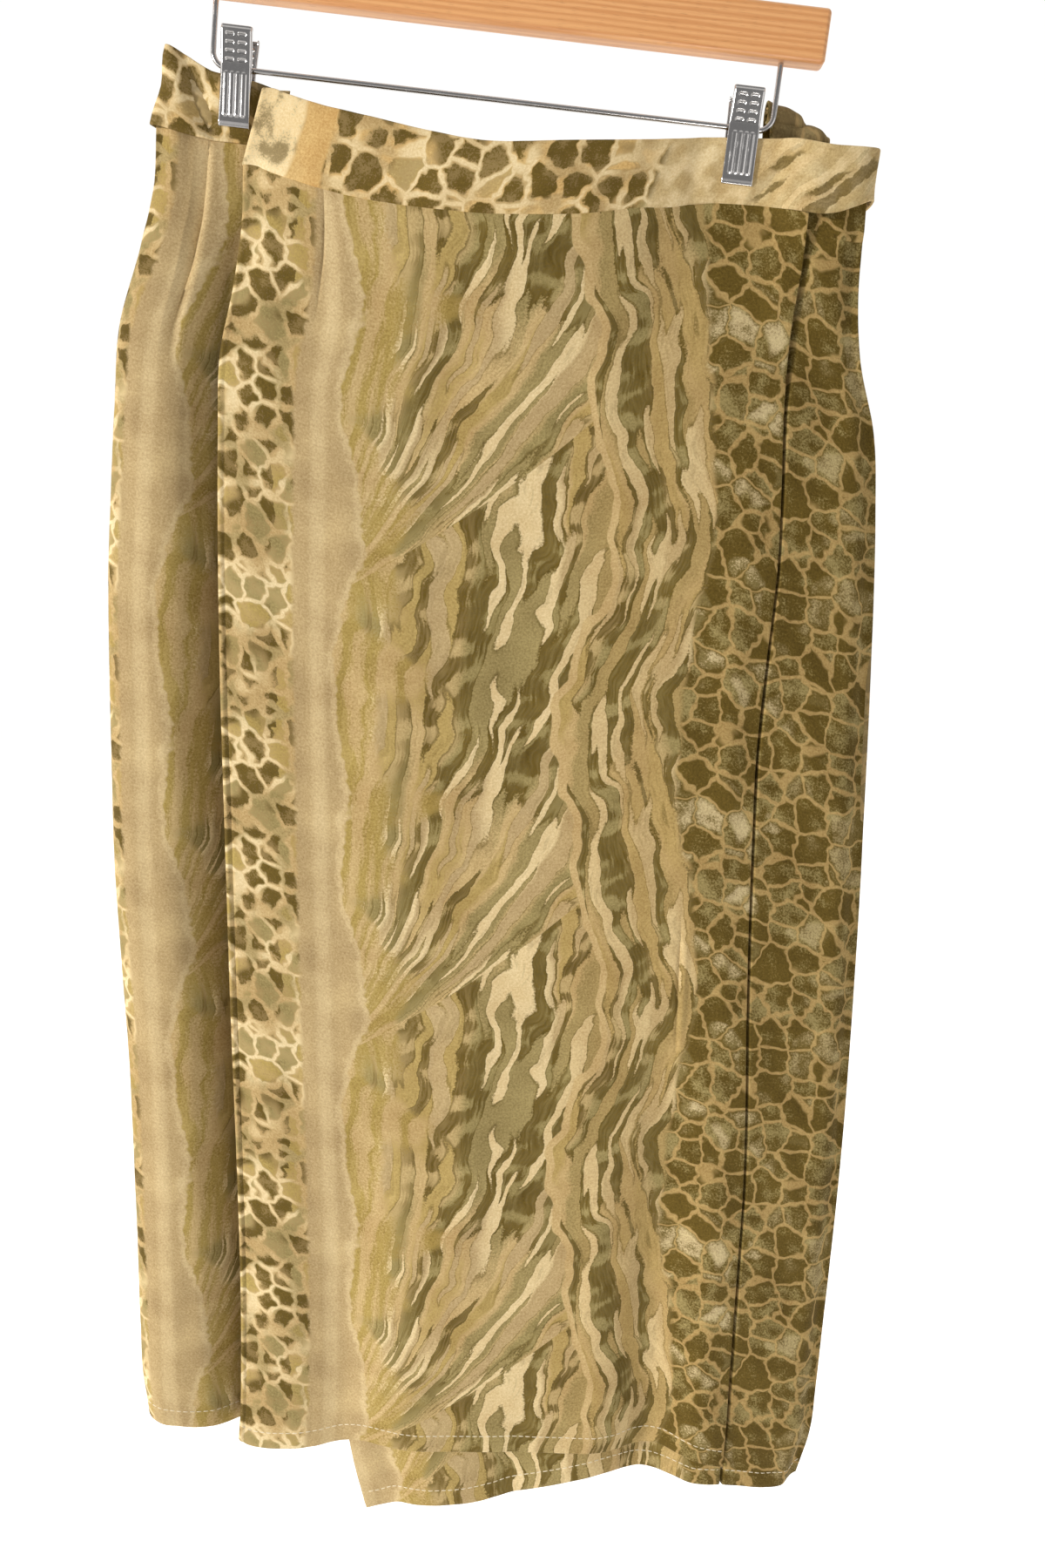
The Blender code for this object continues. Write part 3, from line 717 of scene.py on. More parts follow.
def shape_under_wrap(lift, points, u, v, above_hem):
    """Presses in a groove along the over wrap's free edge, and raises the cloth past it."""
    edge = panel_points("over_wrap")[:, -1]
    beyond = (points[..., 0] - np.interp(-points[..., 2], -edge[:, 2], edge[:, 0])) / MM
    off_groove = (beyond - EDGE_GROOVE_AT) / EDGE_GROOVE_WIDTH
    groove = EDGE_GROOVE * np.exp(-(off_groove**2)) * ease(v / GROOVE_FADE)
    fall = np.exp(-np.clip(beyond - EDGE_RISE_TO, 0, None) / EDGE_RISE_WIDTH)
    rise = EDGE_RISE * (ease(beyond - EDGE_RISE_FROM) * fall)
    lift = lift * edge_calm(np.abs(beyond)) - groove
    return lift + rise * ease(v / WAIST_FADE) * ease(above_hem / HEM_FADE)


def shape_side_front(lift, points, u, v, above_hem):
    """Lays the pleat: a slope down, a sharp step up and a slow fall."""
    beyond = u - np.interp(v, PLEAT_V, PLEAT_U)
    sink, rise = np.interp(v, PLEAT_V, PLEAT_SINK), np.interp(v, PLEAT_V, PLEAT_RISE)
    before = -sink * np.clip(1 + beyond / SINK_WIDTH, 0, 1)
    after = rise * np.exp(-np.clip(beyond, 0, None) / RISE_WIDTH)
    return lift + (before + (after - before) * ease((beyond - STEP_START) / STEP_WIDTH))


def shape_waistband_over(lift, points, u, v, above_hem):
    """Curls the band's lower edge outwards towards its free end."""
    start, length = CURL_U
    top, height = CURL_V
    return lift + CURL * ease((u - start) / length) * ease((v - top) / height)


def shape_waistband_back(lift, points, u, v, above_hem):
    """Lifts the lower edge of the stretch that shows at the front."""
    top, height = BAND_LIFT_V
    return lift + BAND_LIFT * ease(-points[..., 1] / MM) * ease((v - top) / height)


# What each sheet's own edges, folds and curls do to how far it is lifted
SHAPES = {
    "over_wrap": shape_over_wrap,
    "under_wrap": shape_under_wrap,
    "side_front": shape_side_front,
    "waistband_over": shape_waistband_over,
    "waistband_back": shape_waistband_back,
}


def panel_grid(node, settings):
    """A panel's points, finely spaced, with one more row that is tucked into its band."""
    points = finer(panel_points(node), settings.down)
    closer = [
        u * MM for low, high in CLOSER.get(node, ()) for u in np.arange(low, high, CLOSER_STEP)
    ]
    points = finer(points.transpose(1, 0, 2), settings.across, closer).transpose(1, 0, 2)
    return np.concatenate((points[:1] + np.array((0, 0, TUCK * MM)), points))


def band_grid(node, settings):
    """A band's points, finely spaced along it, in even rows from its upper to its lower edge."""
    edges = finer(band_points(node).transpose(1, 0, 2), settings.across)
    share = np.linspace(0, 1, BAND_ROWS)[:, None, None]
    return edges[:, 0] * (1 - share) + edges[:, 1] * share


def sheet_grid(sheet, settings):
    """A sheet's fine points, normals, half thickness, cloth coordinates and height above its hem,
    the last two in millimetres."""
    panel = sheet.kind == "panel"
    points = (panel_grid if panel else band_grid)(sheet.node, settings)
    u, v = lengths_along(points) / MM, lengths_down(points) / MM
    above_hem = v[-1] - v
    normals = normals_of(points, sheet.facing)
    lift = relief(sheet, u, v, above_hem, settings)
    for clip in () if panel else CLIPS:
        beside = np.abs(points[..., 0] / MM - clip.along + CLIP_SHIFT) - CLIP_WIDTH / 2
        lift *= ease(beside / GRIP_WIDTH) * (1 - GRIP_CALM) + GRIP_CALM
    if sheet.node in SHAPES:
        lift = SHAPES[sheet.node](lift, points, u, v, above_hem)
    half = np.full(u.shape, (settings.panel if panel else settings.band) / 2)
    if panel:
        lift[:2] = 0
        thins = ease((above_hem - settings.hem / MM) / HEM_THINS)
        half += HEM_THICKER * MM / 2 * (1 - thins)
    points = points + normals * (lift * MM)[:, :, None]
    return points, normals_of(points, sheet.facing), half, u, v, above_hem


def print_place(sheet, u, v):
    """Where on the print each place of a sheet lies, in millimetres."""
    taken = 0
    if sheet.node == "over_wrap":
        taken = DART_TAKES * np.clip(1 - v / DART_LENGTH, 0, 1) * (u > DART_U)
    return sheet.print_u + sheet.print_way * u + taken, v


# ---------------- the cloth's meshes


def rounded_rim(points, normals, half):
    """Rings of points that round off a sheet's edge, from its outer to its inner layer."""
    rows, columns = points.shape[:2]
    around = [(0, j) for j in range(columns - 1)]
    around += [(i, columns - 1) for i in range(rows - 1)]
    around += [(rows - 1, j) for j in range(columns - 1, 0, -1)]
    around += [(i, 0) for i in range(rows - 1, 0, -1)]
    rings = [[] for _ in range(RIM_STEPS)]
    for i, j in around:
        middle = points[i, j]
        inwards = points[min(max(i, 1), rows - 2), min(max(j, 1), columns - 2)]
        outwards = middle - inwards
        outwards -= normals[i, j] * outwards.dot(normals[i, j])
        outwards /= np.linalg.norm(outwards)
        for k, ring in enumerate(rings):
            angle = pi * (k + 1) / (RIM_STEPS + 1)
            turned = outwards * sin(angle) + normals[i, j] * cos(angle)
            ring.append(middle + turned * half[i, j])
    return around, rings


def shell(name, points, normals, half, u, v):
    """A closed thin sheet round a grid of points, half a thickness out and in, as an object.

    Its second material goes on its inner side. u and v, in millimetres, are its UV map."""
    rows, columns = points.shape[:2]
    layer = rows * columns
    around, rings = rounded_rim(points, normals, half)
    offset = normals * half[:, :, None]
    places = [(points + offset).reshape(-1, 3), (points - offset).reshape(-1, 3)]
    places += [np.array(ring) for ring in rings]
    i, j = np.meshgrid(np.arange(rows - 1), np.arange(columns - 1), indexing="ij")
    a = (i * columns + j).ravel()
    outer = np.stack((a, a + 1, a + columns + 1, a + columns), axis=1)
    edge = np.array([row * columns + column for row, column in around])
    circle = len(edge)
    loops = [edge] + [2 * layer + k * circle + np.arange(circle) for k in range(RIM_STEPS)]
    loops.append(edge + layer)
    rim = [
        np.stack((a, b, np.roll(b, -1), np.roll(a, -1)), axis=1) for a, b in zip(loops, loops[1:])
    ]
    faces = np.concatenate([outer, outer[:, ::-1] + layer] + rim)
    turn = np.cross(points[0, 1] - points[0, 0], points[1, 0] - points[0, 0])
    if np.dot(turn, normals[0, 0]) <= 0:
        faces = faces[:, ::-1]
    corner_u = np.concatenate([u.ravel()] * 2 + [u.ravel()[edge]] * RIM_STEPS)
    corner_v = np.concatenate([v.ravel()] * 2 + [v.ravel()[edge]] * RIM_STEPS)
    mesh = bpy.data.meshes.new(name)
    mesh.from_pydata(np.concatenate(places).tolist(), [], faces.tolist())
    corners = faces.ravel()
    flat = np.stack((corner_u[corners], corner_v[corners]), axis=1) * MM
    cloth_map = mesh.uv_layers.new(name=CLOTH_MAP)
    cloth_map.data.foreach_set("uv", flat.ravel().astype(np.float32))
    inner = np.zeros(len(faces), np.int32)
    inner[len(outer) : 2 * len(outer)] = 1
    mesh.polygons.foreach_set("material_index", inner)
    mesh.shade_smooth()
    return link_object(name, mesh)


def read_along(place, at, values):
    """Vectors along a line, which are given at the places at, read at one place."""
    return np.array([np.interp(place, at, values[:, k]) for k in range(3)])


def hem_stitches(name, points, normals, half, above_hem, settings):
    """The row of stitches above a hem, on both faces of the cloth, as one mesh."""
    height = settings.hem / MM
    line = []
    for j in range(above_hem.shape[1]):
        i = int(np.argmax(above_hem[:, j] < height))
        share = (above_hem[i - 1, j] - height) / (above_hem[i - 1, j] - above_hem[i, j])
        line.append(
            [g[i - 1, j] * (1 - share) + g[i, j] * share for g in (points, normals, half)]
        )
    middle, outwards, reach = (np.array(values) for values in zip(*line))
    at = np.r_[0, np.cumsum(np.linalg.norm(np.diff(middle, axis=0), axis=1))]
    pitch = settings.stitch + settings.stitch_gap
    turns = [tau * k / STITCH_SIDES for k in range(STITCH_SIDES)]
    places, faces = [], []
    for start in np.arange(pitch, at[-1] - pitch, pitch):
        first, last = (read_along(s, at, middle) for s in (start, start + settings.stitch))
        out = read_along(start, at, outwards)
        along = (last - first) / settings.stitch
        down = np.cross(along, out)
        for side in (1, -1):
            centre = (first + last) / 2 + out * side * np.interp(start, at, reach)
            faces += tube_faces(len(places), len(STITCH_RINGS), STITCH_SIDES)
            for place, radius in STITCH_RINGS:
                ring = centre + along * place * settings.stitch
                places += [ring + (down * cos(a) + out * sin(a)) * radius * MM for a in turns]
    return smooth_object(name, closed_bmesh(places, faces))


def make_sheet(name, context):
    """Builds one sheet with its print and, on a panel, its hem stitches."""
    scene = context.scene
    sheet, settings = SHEETS[name], scene.skirt_cloth
    points, normals, half, u, v, above_hem = sheet_grid(sheet, settings)
    made = shell(name + "_cloth", points, normals, half, *print_place(sheet, u, v))
    both_sides = [cloth_finish(sheet.printed, inner, scene) for inner in (False, True)]
    dress(made, both_sides, [sheet.node])
    if sheet.kind == "panel":
        row = hem_stitches(name + "_hem_stitches", points, normals, half, above_hem, settings)
        dress(row, [thread_finish(scene)])


# ---------------- the tie's tail

# Rolls of the tie's tail that show above the band: where along x, the roll's middle, its outer and
# inner radius, how many turns, and how it slopes.
Roll = namedtuple("Roll", "left right y z outer inner turns slope")
ROLLS = [
    Roll(143.5, 165.0, 8.6, -127.5, 7.4, 2.6, 1.3, -0.30),
    Roll(147.0, 179.0, 9.4, -134.5, 6.8, 2.2, 1.4, -0.16),
]
TAIL_THICKNESS = 1.1
TAIL_PRINT_U = 320.0

# The strip below a roll: its foot, its top above the roll's middle, and its rows. A roll's rings and
# columns, how much it narrows towards its end, and in the last stretch of it, and the height above
# which it slopes. The waves of its cloth.
TAIL_FOOT, STRIP_TOP, STRIP_ROWS = -168.0, -3.0, 9
ROLL_RINGS, ROLL_COLUMNS = 44, 22
ROLL_NARROWS, ROLL_PINCH, PINCH_FROM = 0.12, 0.6, 0.76
SLOPE_FROM = -12.0
TAIL_WAVE, TAIL_WAVE_X, TAIL_WAVE_Z, TAIL_WAVE_OUT = 0.5, 0.45, 0.2, 0.4


def tail_grid(roll):
    """A roll of the tail, with the strip that goes down from it behind the band."""
    profile = [(roll.outer, z) for z in np.linspace(TAIL_FOOT - roll.z, STRIP_TOP, STRIP_ROWS)]
    whole = tau * roll.turns
    for angle in np.linspace(0, whole, ROLL_RINGS):
        radius = roll.outer + (roll.inner - roll.outer) * angle / whole
        profile.append((radius * cos(angle), radius * sin(angle)))
    grid = []
    for y, z in profile:
        line = []
        for x in np.linspace(roll.left, roll.right, ROLL_COLUMNS):
            share = (x - roll.left) / (roll.right - roll.left)
            end = ease((share - PINCH_FROM) / (1 - PINCH_FROM)) ** 2
            narrow = 1 - ROLL_NARROWS * share - ROLL_PINCH * end
            sag = roll.slope * (x - (roll.left + roll.right) / 2) * (z > SLOPE_FROM)
            wave = TAIL_WAVE * sin(x * TAIL_WAVE_X + z * TAIL_WAVE_Z)
            y_here, z_here = roll.y + y * narrow, roll.z + z * narrow
            line.append((x, y_here + wave * TAIL_WAVE_OUT, z_here + sag + wave))
        grid.append(line)
    return np.array(grid) * MM


def make_tail(scene):
    """Builds the tail's two rolls as one sheet."""
    both = bmesh.new()
    for i, roll in enumerate(ROLLS):
        points = tail_grid(roll)
        half = np.full(points.shape[:2], TAIL_THICKNESS * MM / 2)
        u, v = lengths_along(points) / MM, lengths_down(points) / MM
        one = shell(f"roll_{i + 1}", points, normals_of(points, 1), half, TAIL_PRINT_U + v, u)
        both.from_mesh(one.data)
        bpy.data.objects.remove(one)
    made = smooth_object("tie_tail_cloth", both)
    both_sides = [cloth_finish("panel", inner, scene) for inner in (False, True)]
    dress(made, both_sides, ["tie_tail"])


# ---------------- nodes as expressions


def both_ways(operation):
    """A Python operator's method and its reflected one, which add a Math node."""
    return (
        lambda self, other: self.finish.math(operation, self, other),
        lambda self, other: self.finish.math(operation, other, self),
    )


class Value:
    """A node's output that Python's operators work on: each adds a Math node."""

    def __init__(self, finish, socket):
        self.finish = finish
        self.socket = socket

    __add__, __radd__ = both_ways("ADD")
    __sub__, __rsub__ = both_ways("SUBTRACT")
    __mul__, __rmul__ = both_ways("MULTIPLY")
    __truediv__, __rtruediv__ = both_ways("DIVIDE")
    __pow__, __rpow__ = both_ways("POWER")
    __mod__, __rmod__ = both_ways("FLOORED_MODULO")

    def __abs__(self):
        return self.finish.math("ABSOLUTE", self)


class Finish:
    """A node tree with one shader, and the calls that fill it."""

    def __init__(self, owner, shader="Principled BSDF"):
        owner.use_nodes = True
        self.material = owner
        self.tree = owner.node_tree
        self.shader = self.tree.nodes[shader]

    def node(self, kind, settings=None, sockets=None, output=0):
        """Adds a node, sets it up, feeds its sockets and returns one of its outputs."""
        made = self.tree.nodes.new(kind)
        for name, value in (settings or {}).items():
            setattr(made, name, value)
        for name, value in (sockets or {}).items():
            self.feed(made.inputs[name], value)
        return Value(self, made.outputs[output])

    def feed(self, socket, value):
        """Links a value to a socket, or sets a plain number or colour there."""
        if isinstance(value, Value):
            self.tree.links.new(value.socket, socket)
        else:
            socket.default_value = value

    def set(self, **sockets):
        """Feeds the shader's sockets. A name's underscores stand for spaces."""
        names = {socket.name.lower(): socket for socket in self.shader.inputs}
        for name, value in sockets.items():
            self.feed(names[name.replace("_", " ")], value)

    def math(self, operation, first, second=0.0):
        return self.node("ShaderNodeMath", {"operation": operation}, {0: first, 1: second})

    def sine(self, angle):
        return self.math("SINE", angle)

    def between(self, value, low, high):
        """0 below low, 1 above high, and an easy S between them."""
        return self.node(
            "ShaderNodeMapRange",
            {"interpolation_type": "SMOOTHSTEP"},
            {0: value, 1: low, 2: high},
        )

    def place(self, kind="Object"):
        """Where the surface is, in coordinates of a kind."""
        return self.node("ShaderNodeTexCoord", None, None, kind)

    def join(self, x, y, z):
        return self.node("ShaderNodeCombineXYZ", None, {0: x, 1: y, 2: z})

    def part(self, vector, index):
        return self.node("ShaderNodeSeparateXYZ", None, {0: vector}, index)

    def noise(self, place, size, detail=2.0, roughness=0.5):
        """Noise from 0 to 1 in waves about size wide, in the place's own unit."""
        sockets = {"Vector": place, "Scale": 1 / size, "Detail": detail, "Roughness": roughness}
        return self.node("ShaderNodeTexNoise", None, sockets)

    def also(self, value, output):
        """Another output of the node that a value comes from."""
        return Value(self, value.socket.node.outputs[output])

    def shifted(self, place, distance):
        """The same place, moved far enough that noise there is other noise."""
        move = (distance, distance, distance)
        return self.node("ShaderNodeVectorMath", {"operation": "ADD"}, {0: place, 1: move})

    def cells(self, place, size, feature, output, randomness):
        """Cells about size wide: the distance from their middle or their edge, as a share of it."""
        sockets = {"Vector": place, "Scale": 1 / size, "Randomness": randomness}
        return self.node("ShaderNodeTexVoronoi", {"feature": feature}, sockets, output)

    def mix(self, first, second, share, blend="MIX"):
        """The first colour, or the second one blended over it where share is 1."""
        sockets = {0: share, 6: first, 7: second}
        return self.node("ShaderNodeMix", {"data_type": "RGBA", "blend_type": blend}, sockets, 2)

    def bump(self, height, strength, distance):
        """The normals of a surface as high as height says, times a distance in millimetres."""
        sockets = {"Strength": strength, "Distance": distance * MM, "Height": height}
        return self.node("ShaderNodeBump", None, sockets)


def opaque(colour, strength=1.0):
    """A colour with its alpha, made darker if strength is below 1."""
    return (*(part * strength for part in colour), 1.0)


# ---------------- the print

# Where the panels' stripes change across one repeat, each as the two places between which the next
# one takes over: faint spots, the plain stripe with its light middle, its pale shore, the strokes,
# larger cells, the scales, and darker ones among them
FAINT_FROM, PLAIN_FROM, PLAIN_MIDDLE = (31, 38), (44, 47), 60
SHORE_FROM, STROKES_FROM = (71, 75), (75.6, 77.2)
LARGE_FROM, SCALES_FROM, DARKER_FROM = (120, 160), (277, 281), (326, 346)

# The same along the waistband: its plain stretch, spots, pale stretch and strokes
BAND_PLAIN_FROM, BAND_SPOTS_FROM = (27, 30), (44, 47)
BAND_PALE_FROM, BAND_STROKES_FROM = (228, 234), (283, 287)

# Sizes of the spots, the scales and the waistband's spots
SPOT, SCALE, BAND_SPOT = 14.0, 17.5, 16.5

# Dark diagonal strokes across the band's right end, partly print and partly painted shade of its
# diagonal folds: where u + v is on their middle, their half width, and the heights between which
# they show
BAND_STROKES_AND_FOLD_SHADE = [(358, 5.5, 3, 34), (346, 1.6, 10, 26), (311, 3.4, 5, 14), (322, 1.4, 18, 30)]

# The strokes: their stretch across, where they fan out from and how steeply, how the fan bends and
# spreads, and where upright ones take over
ZEBRA_START, ZEBRA_WIDTH = 76.0, 206.0
FAN_U, FAN_V, FAN_SLOPE = 62.0, 222.0, 0.70
FAN_BEND, FAN_SPREAD = 0.0019, 160.0
UPRIGHT_U = 214.0


class Print:
    """The animal-skin print, drawn in cloth coordinates in millimetres."""

    def __init__(self, finish, settings):
        self.finish = finish
        self.colours = settings
        self.down = settings.repeat_down / MM
        self.across = settings.repeat_across / MM
        place = finish.node("ShaderNodeUVMap", {"uv_map": CLOTH_MAP})
        raw_u = finish.part(place, 0) / MM
        self.v = finish.part(place, 1) / MM
        self.u = raw_u % self.across
        self.turn = self.v * (tau / self.down)
        ring = self.around(self.u, self.v)
        self.grain = finish.noise(finish.join(raw_u, self.v, 0.0), 1.35, 2.0, 0.75) - 0.5
        self.cloud = finish.noise(ring, 30, 1.0)
        self.patch = finish.noise(ring, 10, 1.0)
        self.wobble = finish.noise(ring, 4.5, 0.0) - 0.5

    def around(self, u, v):
        """A place on a tube whose way round is one repeat, so that the repeat has no seam."""
        finish = self.finish
        angle = v * (tau / self.down)
        radius = self.down / tau
        return finish.join(u, finish.sine(angle) * radius, finish.math("COSINE", angle) * radius)

    def wave(self, turn, *parts):
        """Sine waves that repeat with the print, each given as its count, start and height."""
        waves = [self.finish.sine(turn * count + start) * height for count, start, height in parts]
        return sum(waves[1:], waves[0])

    def colour(self, name):
        return opaque(getattr(self.colours, name))

    def mix(self, first, second, share):
        """The first colour, or the second where share is 1. Each is the name of one of the print's
        own colours, or a colour that was made here."""
        first, second = (self.colour(c) if isinstance(c, str) else c for c in (first, second))
        return self.finish.mix(first, second, share)

    def cells(self, u, v, size, randomness=0.85):
        """Cells with wavy sides: how far a place is from a side and from the middle, in
        millimetres, and two numbers of each cell's own."""
        finish = self.finish
        place = self.around(u + self.wobble * 5.0, v + (self.patch - 0.5) * 7.0)
        edge = finish.cells(place, size, "DISTANCE_TO_EDGE", 0, randomness) * size
        middle = finish.cells(place, size, "F1", 0, randomness)
        own = finish.also(middle, "Color")
        return edge, middle * size, finish.part(own, 0), finish.part(own, 1)

    def spots(self, cells, yellow, patches, faint=0.0):
        """Rounded dark spots, some faint, on tan, with a pale net between them. faint adds to the
        share of faint ones, yellow names the colour of half of them, and patches that of the
        ground's darker patches."""
        between, mix = self.finish.between, self.mix
        edge, middle, own, tint = cells
        rough = self.grain * 2.4
        inside = between(edge + rough + (own - 0.5) * 0.8, 1.2, 2.2)
        inside = inside * (1 - between(middle + rough, 10.5, 12.0))
        weak = between(own + faint + (self.cloud - 0.5) * 0.9, 0.70, 0.78)
        fade = between(self.patch + self.grain * 1.2, 0.30, 0.56)
        ground = mix("tan", patches, between(self.patch, 0.46, 0.62) * 0.6)
        net = 1 - between(edge + self.grain * 1.2, 0.7, 1.3)
        ground = mix(ground, "cream", net * between(self.cloud, 0.38, 0.55) * 0.8)
        pale = mix("sage", yellow, between(tint, 0.4, 0.6))
        colour = mix(ground, pale, inside * weak * (0.45 + fade * 0.40))
        return mix(colour, "olive", inside * (1 - weak) * (0.60 + fade * 0.38))

    def scales(self, cells):
        """Mottled dark cells in a thin brown net, with pale groups here and there."""
        between, mix = self.finish.between, self.mix
        edge, _, own, tint = cells
        mottle = self.patch + self.grain * 0.9 + (own - 0.5) * 0.4
        fill = mix("olive", "sage", between(mottle, 0.42, 0.85) * 0.85)
        pale = between(self.cloud + (tint - 0.5) * 0.30, 0.60, 0.66)
        pale = pale * (1 - between(self.u, *DARKER_FROM) * 0.6)
        pale_fill = mix("sage", "cream", between(mottle, 0.3, 0.6))
        fill = mix(fill, pale_fill, pale * between(edge + self.grain, 0.2, 3.2) * 0.45)
        width = 0.95 - pale * 0.5
        net = 1 - between(edge + self.grain * 0.9, width - 0.40, width + 0.40)
        return mix(fill, "brown", net * 0.9)

    def stroke_place(self, u, v):
        """Where a place lies on the strokes, along them and across them; 0 to 1 for how dark the
        ground is; and 0 to 1 for the first upright stroke. They fan out from the left of each
        repeat, and stand upright at the right."""
        finish = self.finish
        sway = (self.cloud - 0.5) * 22 + self.wobble * 1.5
        reach = u - FAN_U
        height = (v + reach * FAN_SLOPE - FAN_V) % self.down
        rise = self.down - height + reach * FAN_SLOPE
        angle = finish.math("ARCTAN2", rise, reach)
        radius = (reach * reach + rise * rise) ** 0.5
        bent = angle - reach * FAN_BEND
        fan = finish.join(bent * FAN_SPREAD + sway, radius * 0.105, 0.0)
        turn = v * (tau / self.down)
        across = u + self.wave(turn, (1, 0.9, 14), (2, 2.0, 4)) + sway
        tube = self.down / tau * 0.14
        round_tube = finish.sine(turn) * tube, finish.math("COSINE", turn) * tube
        upright = finish.join(across + 500, *round_tube)
        side = finish.between(across, UPRIGHT_U, UPRIGHT_U + 0.5)
        sockets = {0: side, 4: fan, 5: upright}
        place = finish.node("ShaderNodeMix", {"data_type": "VECTOR"}, sockets, 1)
        dark = finish.between(bent + self.grain * 0.3, 0.55, 0.75)
        stem = 1 - finish.between(abs(across - UPRIGHT_U), 2.2, 3.0)
        return place, finish.math("MAXIMUM", dark, side), stem

    def strokes(self, u, v):
        """Long wavy strokes over dark blocks, with the broken edges of a dry brush."""
        finish, grain = self.finish, self.grain
        between, mix = finish.between, self.mix
        place, darkness, stem = self.stroke_place(u, v)
        x = (u - ZEBRA_START) / ZEBRA_WIDTH
        brush = finish.noise(finish.shifted(place, 300), 1.7, 1.0, 0.6) - 0.5
        rough = grain * 0.10 + brush * 0.10
        wide = finish.noise(place, 11, 0.5)
        tone = finish.noise(finish.shifted(place, 90), 22, 0.0)
        toned = tone + rough
        thin = finish.noise(finish.shifted(place, 200), 7.5, 0.0)
        rows = finish.noise(self.around(u * 0.62 - 200, v + x * 50), 11, 0.5)

        # The ground, with dark blocks and thin dark lines
        dark = between(rows + rough * 3, 0.39, 0.49) * darkness
        dark = dark * between(x + grain * 0.1, 0.10, 0.22)
        ground = mix("sage", "tan", between(toned, 0.44, 0.60) * 0.7)
        colour = mix(ground, "olive", dark * (0.80 + brush * 0.8 + grain * 0.8))
        colour = mix(colour, "olive", between(wide + rough * 0.3, 0.478, 0.505) * 0.7)

        # Wide strokes in four colours
        ribbon = mix("tan", "mustard", between(toned, 0.54, 0.62) * 0.7)
        ribbon = mix(ribbon, "sage", between(toned, 0.52, 0.42) * 0.9)
        ribbon = mix(ribbon, "brown", between(x, 0.55, 0.80) * 0.7)
        colour = mix(colour, ribbon, between(wide + rough * 0.6, 0.505, 0.530) * 0.95)

        # Thin pale strokes with a dark edge, and a dry brush over all
        leaf = between(thin + rough * 0.6, 0.585, 0.610)
        colour = mix(colour, "olive", between(thin, 0.555, 0.585) * 0.5 * (1 - leaf))
        pale = mix("cream", "greige", between(tone, 0.44, 0.52))
        pale = mix(pale, "tan", 0.25 + between(x, 0.50, 0.75) * 0.45)
        colour = mix(colour, pale, leaf * 0.9)
        colour = mix(colour, "olive", between(brush + (self.cloud - 0.5), 0.10, 0.30) * 0.22)

        # The first upright stroke, and mottled leaves beside the plain stripe
        colour = mix(colour, "tan", stem)
        leaves = mix("mustard", "tan", between(wide + rough * 3, 0.40, 0.58))
        share = 1 - between(x + (self.cloud - 0.5) * 0.6 + grain * 0.2, 0.09, 0.19)
        return mix(colour, leaves, share * 0.9)

    def skin(self):
        """The panels' print: spots, a plain stripe, strokes and scales side by side."""
        between, mix, u = self.finish.between, self.mix, self.u
        fuzzy = self.grain * 3.0
        sway = (self.cloud - 0.5) * 16
        cells = self.cells(u, self.v, SPOT + between(u, *LARGE_FROM) * (SCALE - SPOT))
        faint = between(u + self.wobble * 6 + fuzzy, *FAINT_FROM) * 0.5
        spots = self.spots(cells, "mustard", "sage", faint)
        plain = mix("greige", "tan", self.cloud * 0.6)
        light = 1 - between(abs(u - PLAIN_MIDDLE), 1.5, 7.0)
        plain = mix(plain, "cream", light * 0.30)
        colour = mix(spots, plain, between(u + self.wobble * 3 + fuzzy, *PLAIN_FROM))
        bays = self.wave(self.turn, (1, 1.0, 6), (2, 2.6, 5))
        shore = u + sway * 0.8 + bays + self.wobble * 4 + fuzzy * 0.4
        colour = mix(colour, "cream", between(shore, *SHORE_FROM) * 0.30)
        colour = mix(colour, self.strokes(u, self.v), between(shore, *STROKES_FROM))
        bend = self.wave(self.turn, (1, 0.9, 8))
        return mix(colour, self.scales(cells), between(u + sway + bend + fuzzy, *SCALES_FROM))

    def band(self):
        """The waistband's print, which runs along it, with some painted shade of its folds at the
        right end.
        """
        between, mix, u, v = self.finish.between, self.mix, self.u, self.v
        along = u + (self.cloud - 0.5) * 14 + self.grain * 2.0
        net = self.spots(self.cells(u, v, BAND_SPOT, 0.7), "amber", "amber", -0.12)
        blurred = between(self.patch + self.grain * 0.6, 0.42, 0.66)
        first = mix("cream", "olive", blurred * 0.75)
        plain = mix("amber", "tan", self.cloud * 0.8)
        colour = mix(first, plain, between(along, *BAND_PLAIN_FROM))
        colour = mix(colour, net, between(along, *BAND_SPOTS_FROM))
        pale = mix("cream", "tan", between(self.patch, 0.3, 0.65))
        colour = mix(colour, pale, between(along, *BAND_PALE_FROM))
        end = mix(self.strokes(u - 150, v + 90), pale, 0.45 + self.patch * 0.5)
        across = v + self.wobble * 6
        # Dark diagonal strokes, partly print and partly painted shade of the band's folds
        for middle, half, low, high in BAND_STROKES_AND_FOLD_SHADE:
            off = abs(u + v + self.wobble * 7 - middle)
            stroke = between(off + self.grain * 2.5, half + 1.2, half)
            stroke = stroke * between(across, low, low + 4) * between(across, high + 4, high)
            end = mix(end, "olive", stroke * (0.60 + self.patch * 0.3))
        return mix(colour, end, between(along, *BAND_STROKES_FROM))


# How much paler the cloth's inner side is, and the pitches of its crepe weave and its threads
INSIDE_PALER = 0.45
CREPE_PITCH, THREAD_PITCH = 0.55, 0.5

# The sewing thread's twist
TWIST_PITCH = 0.35


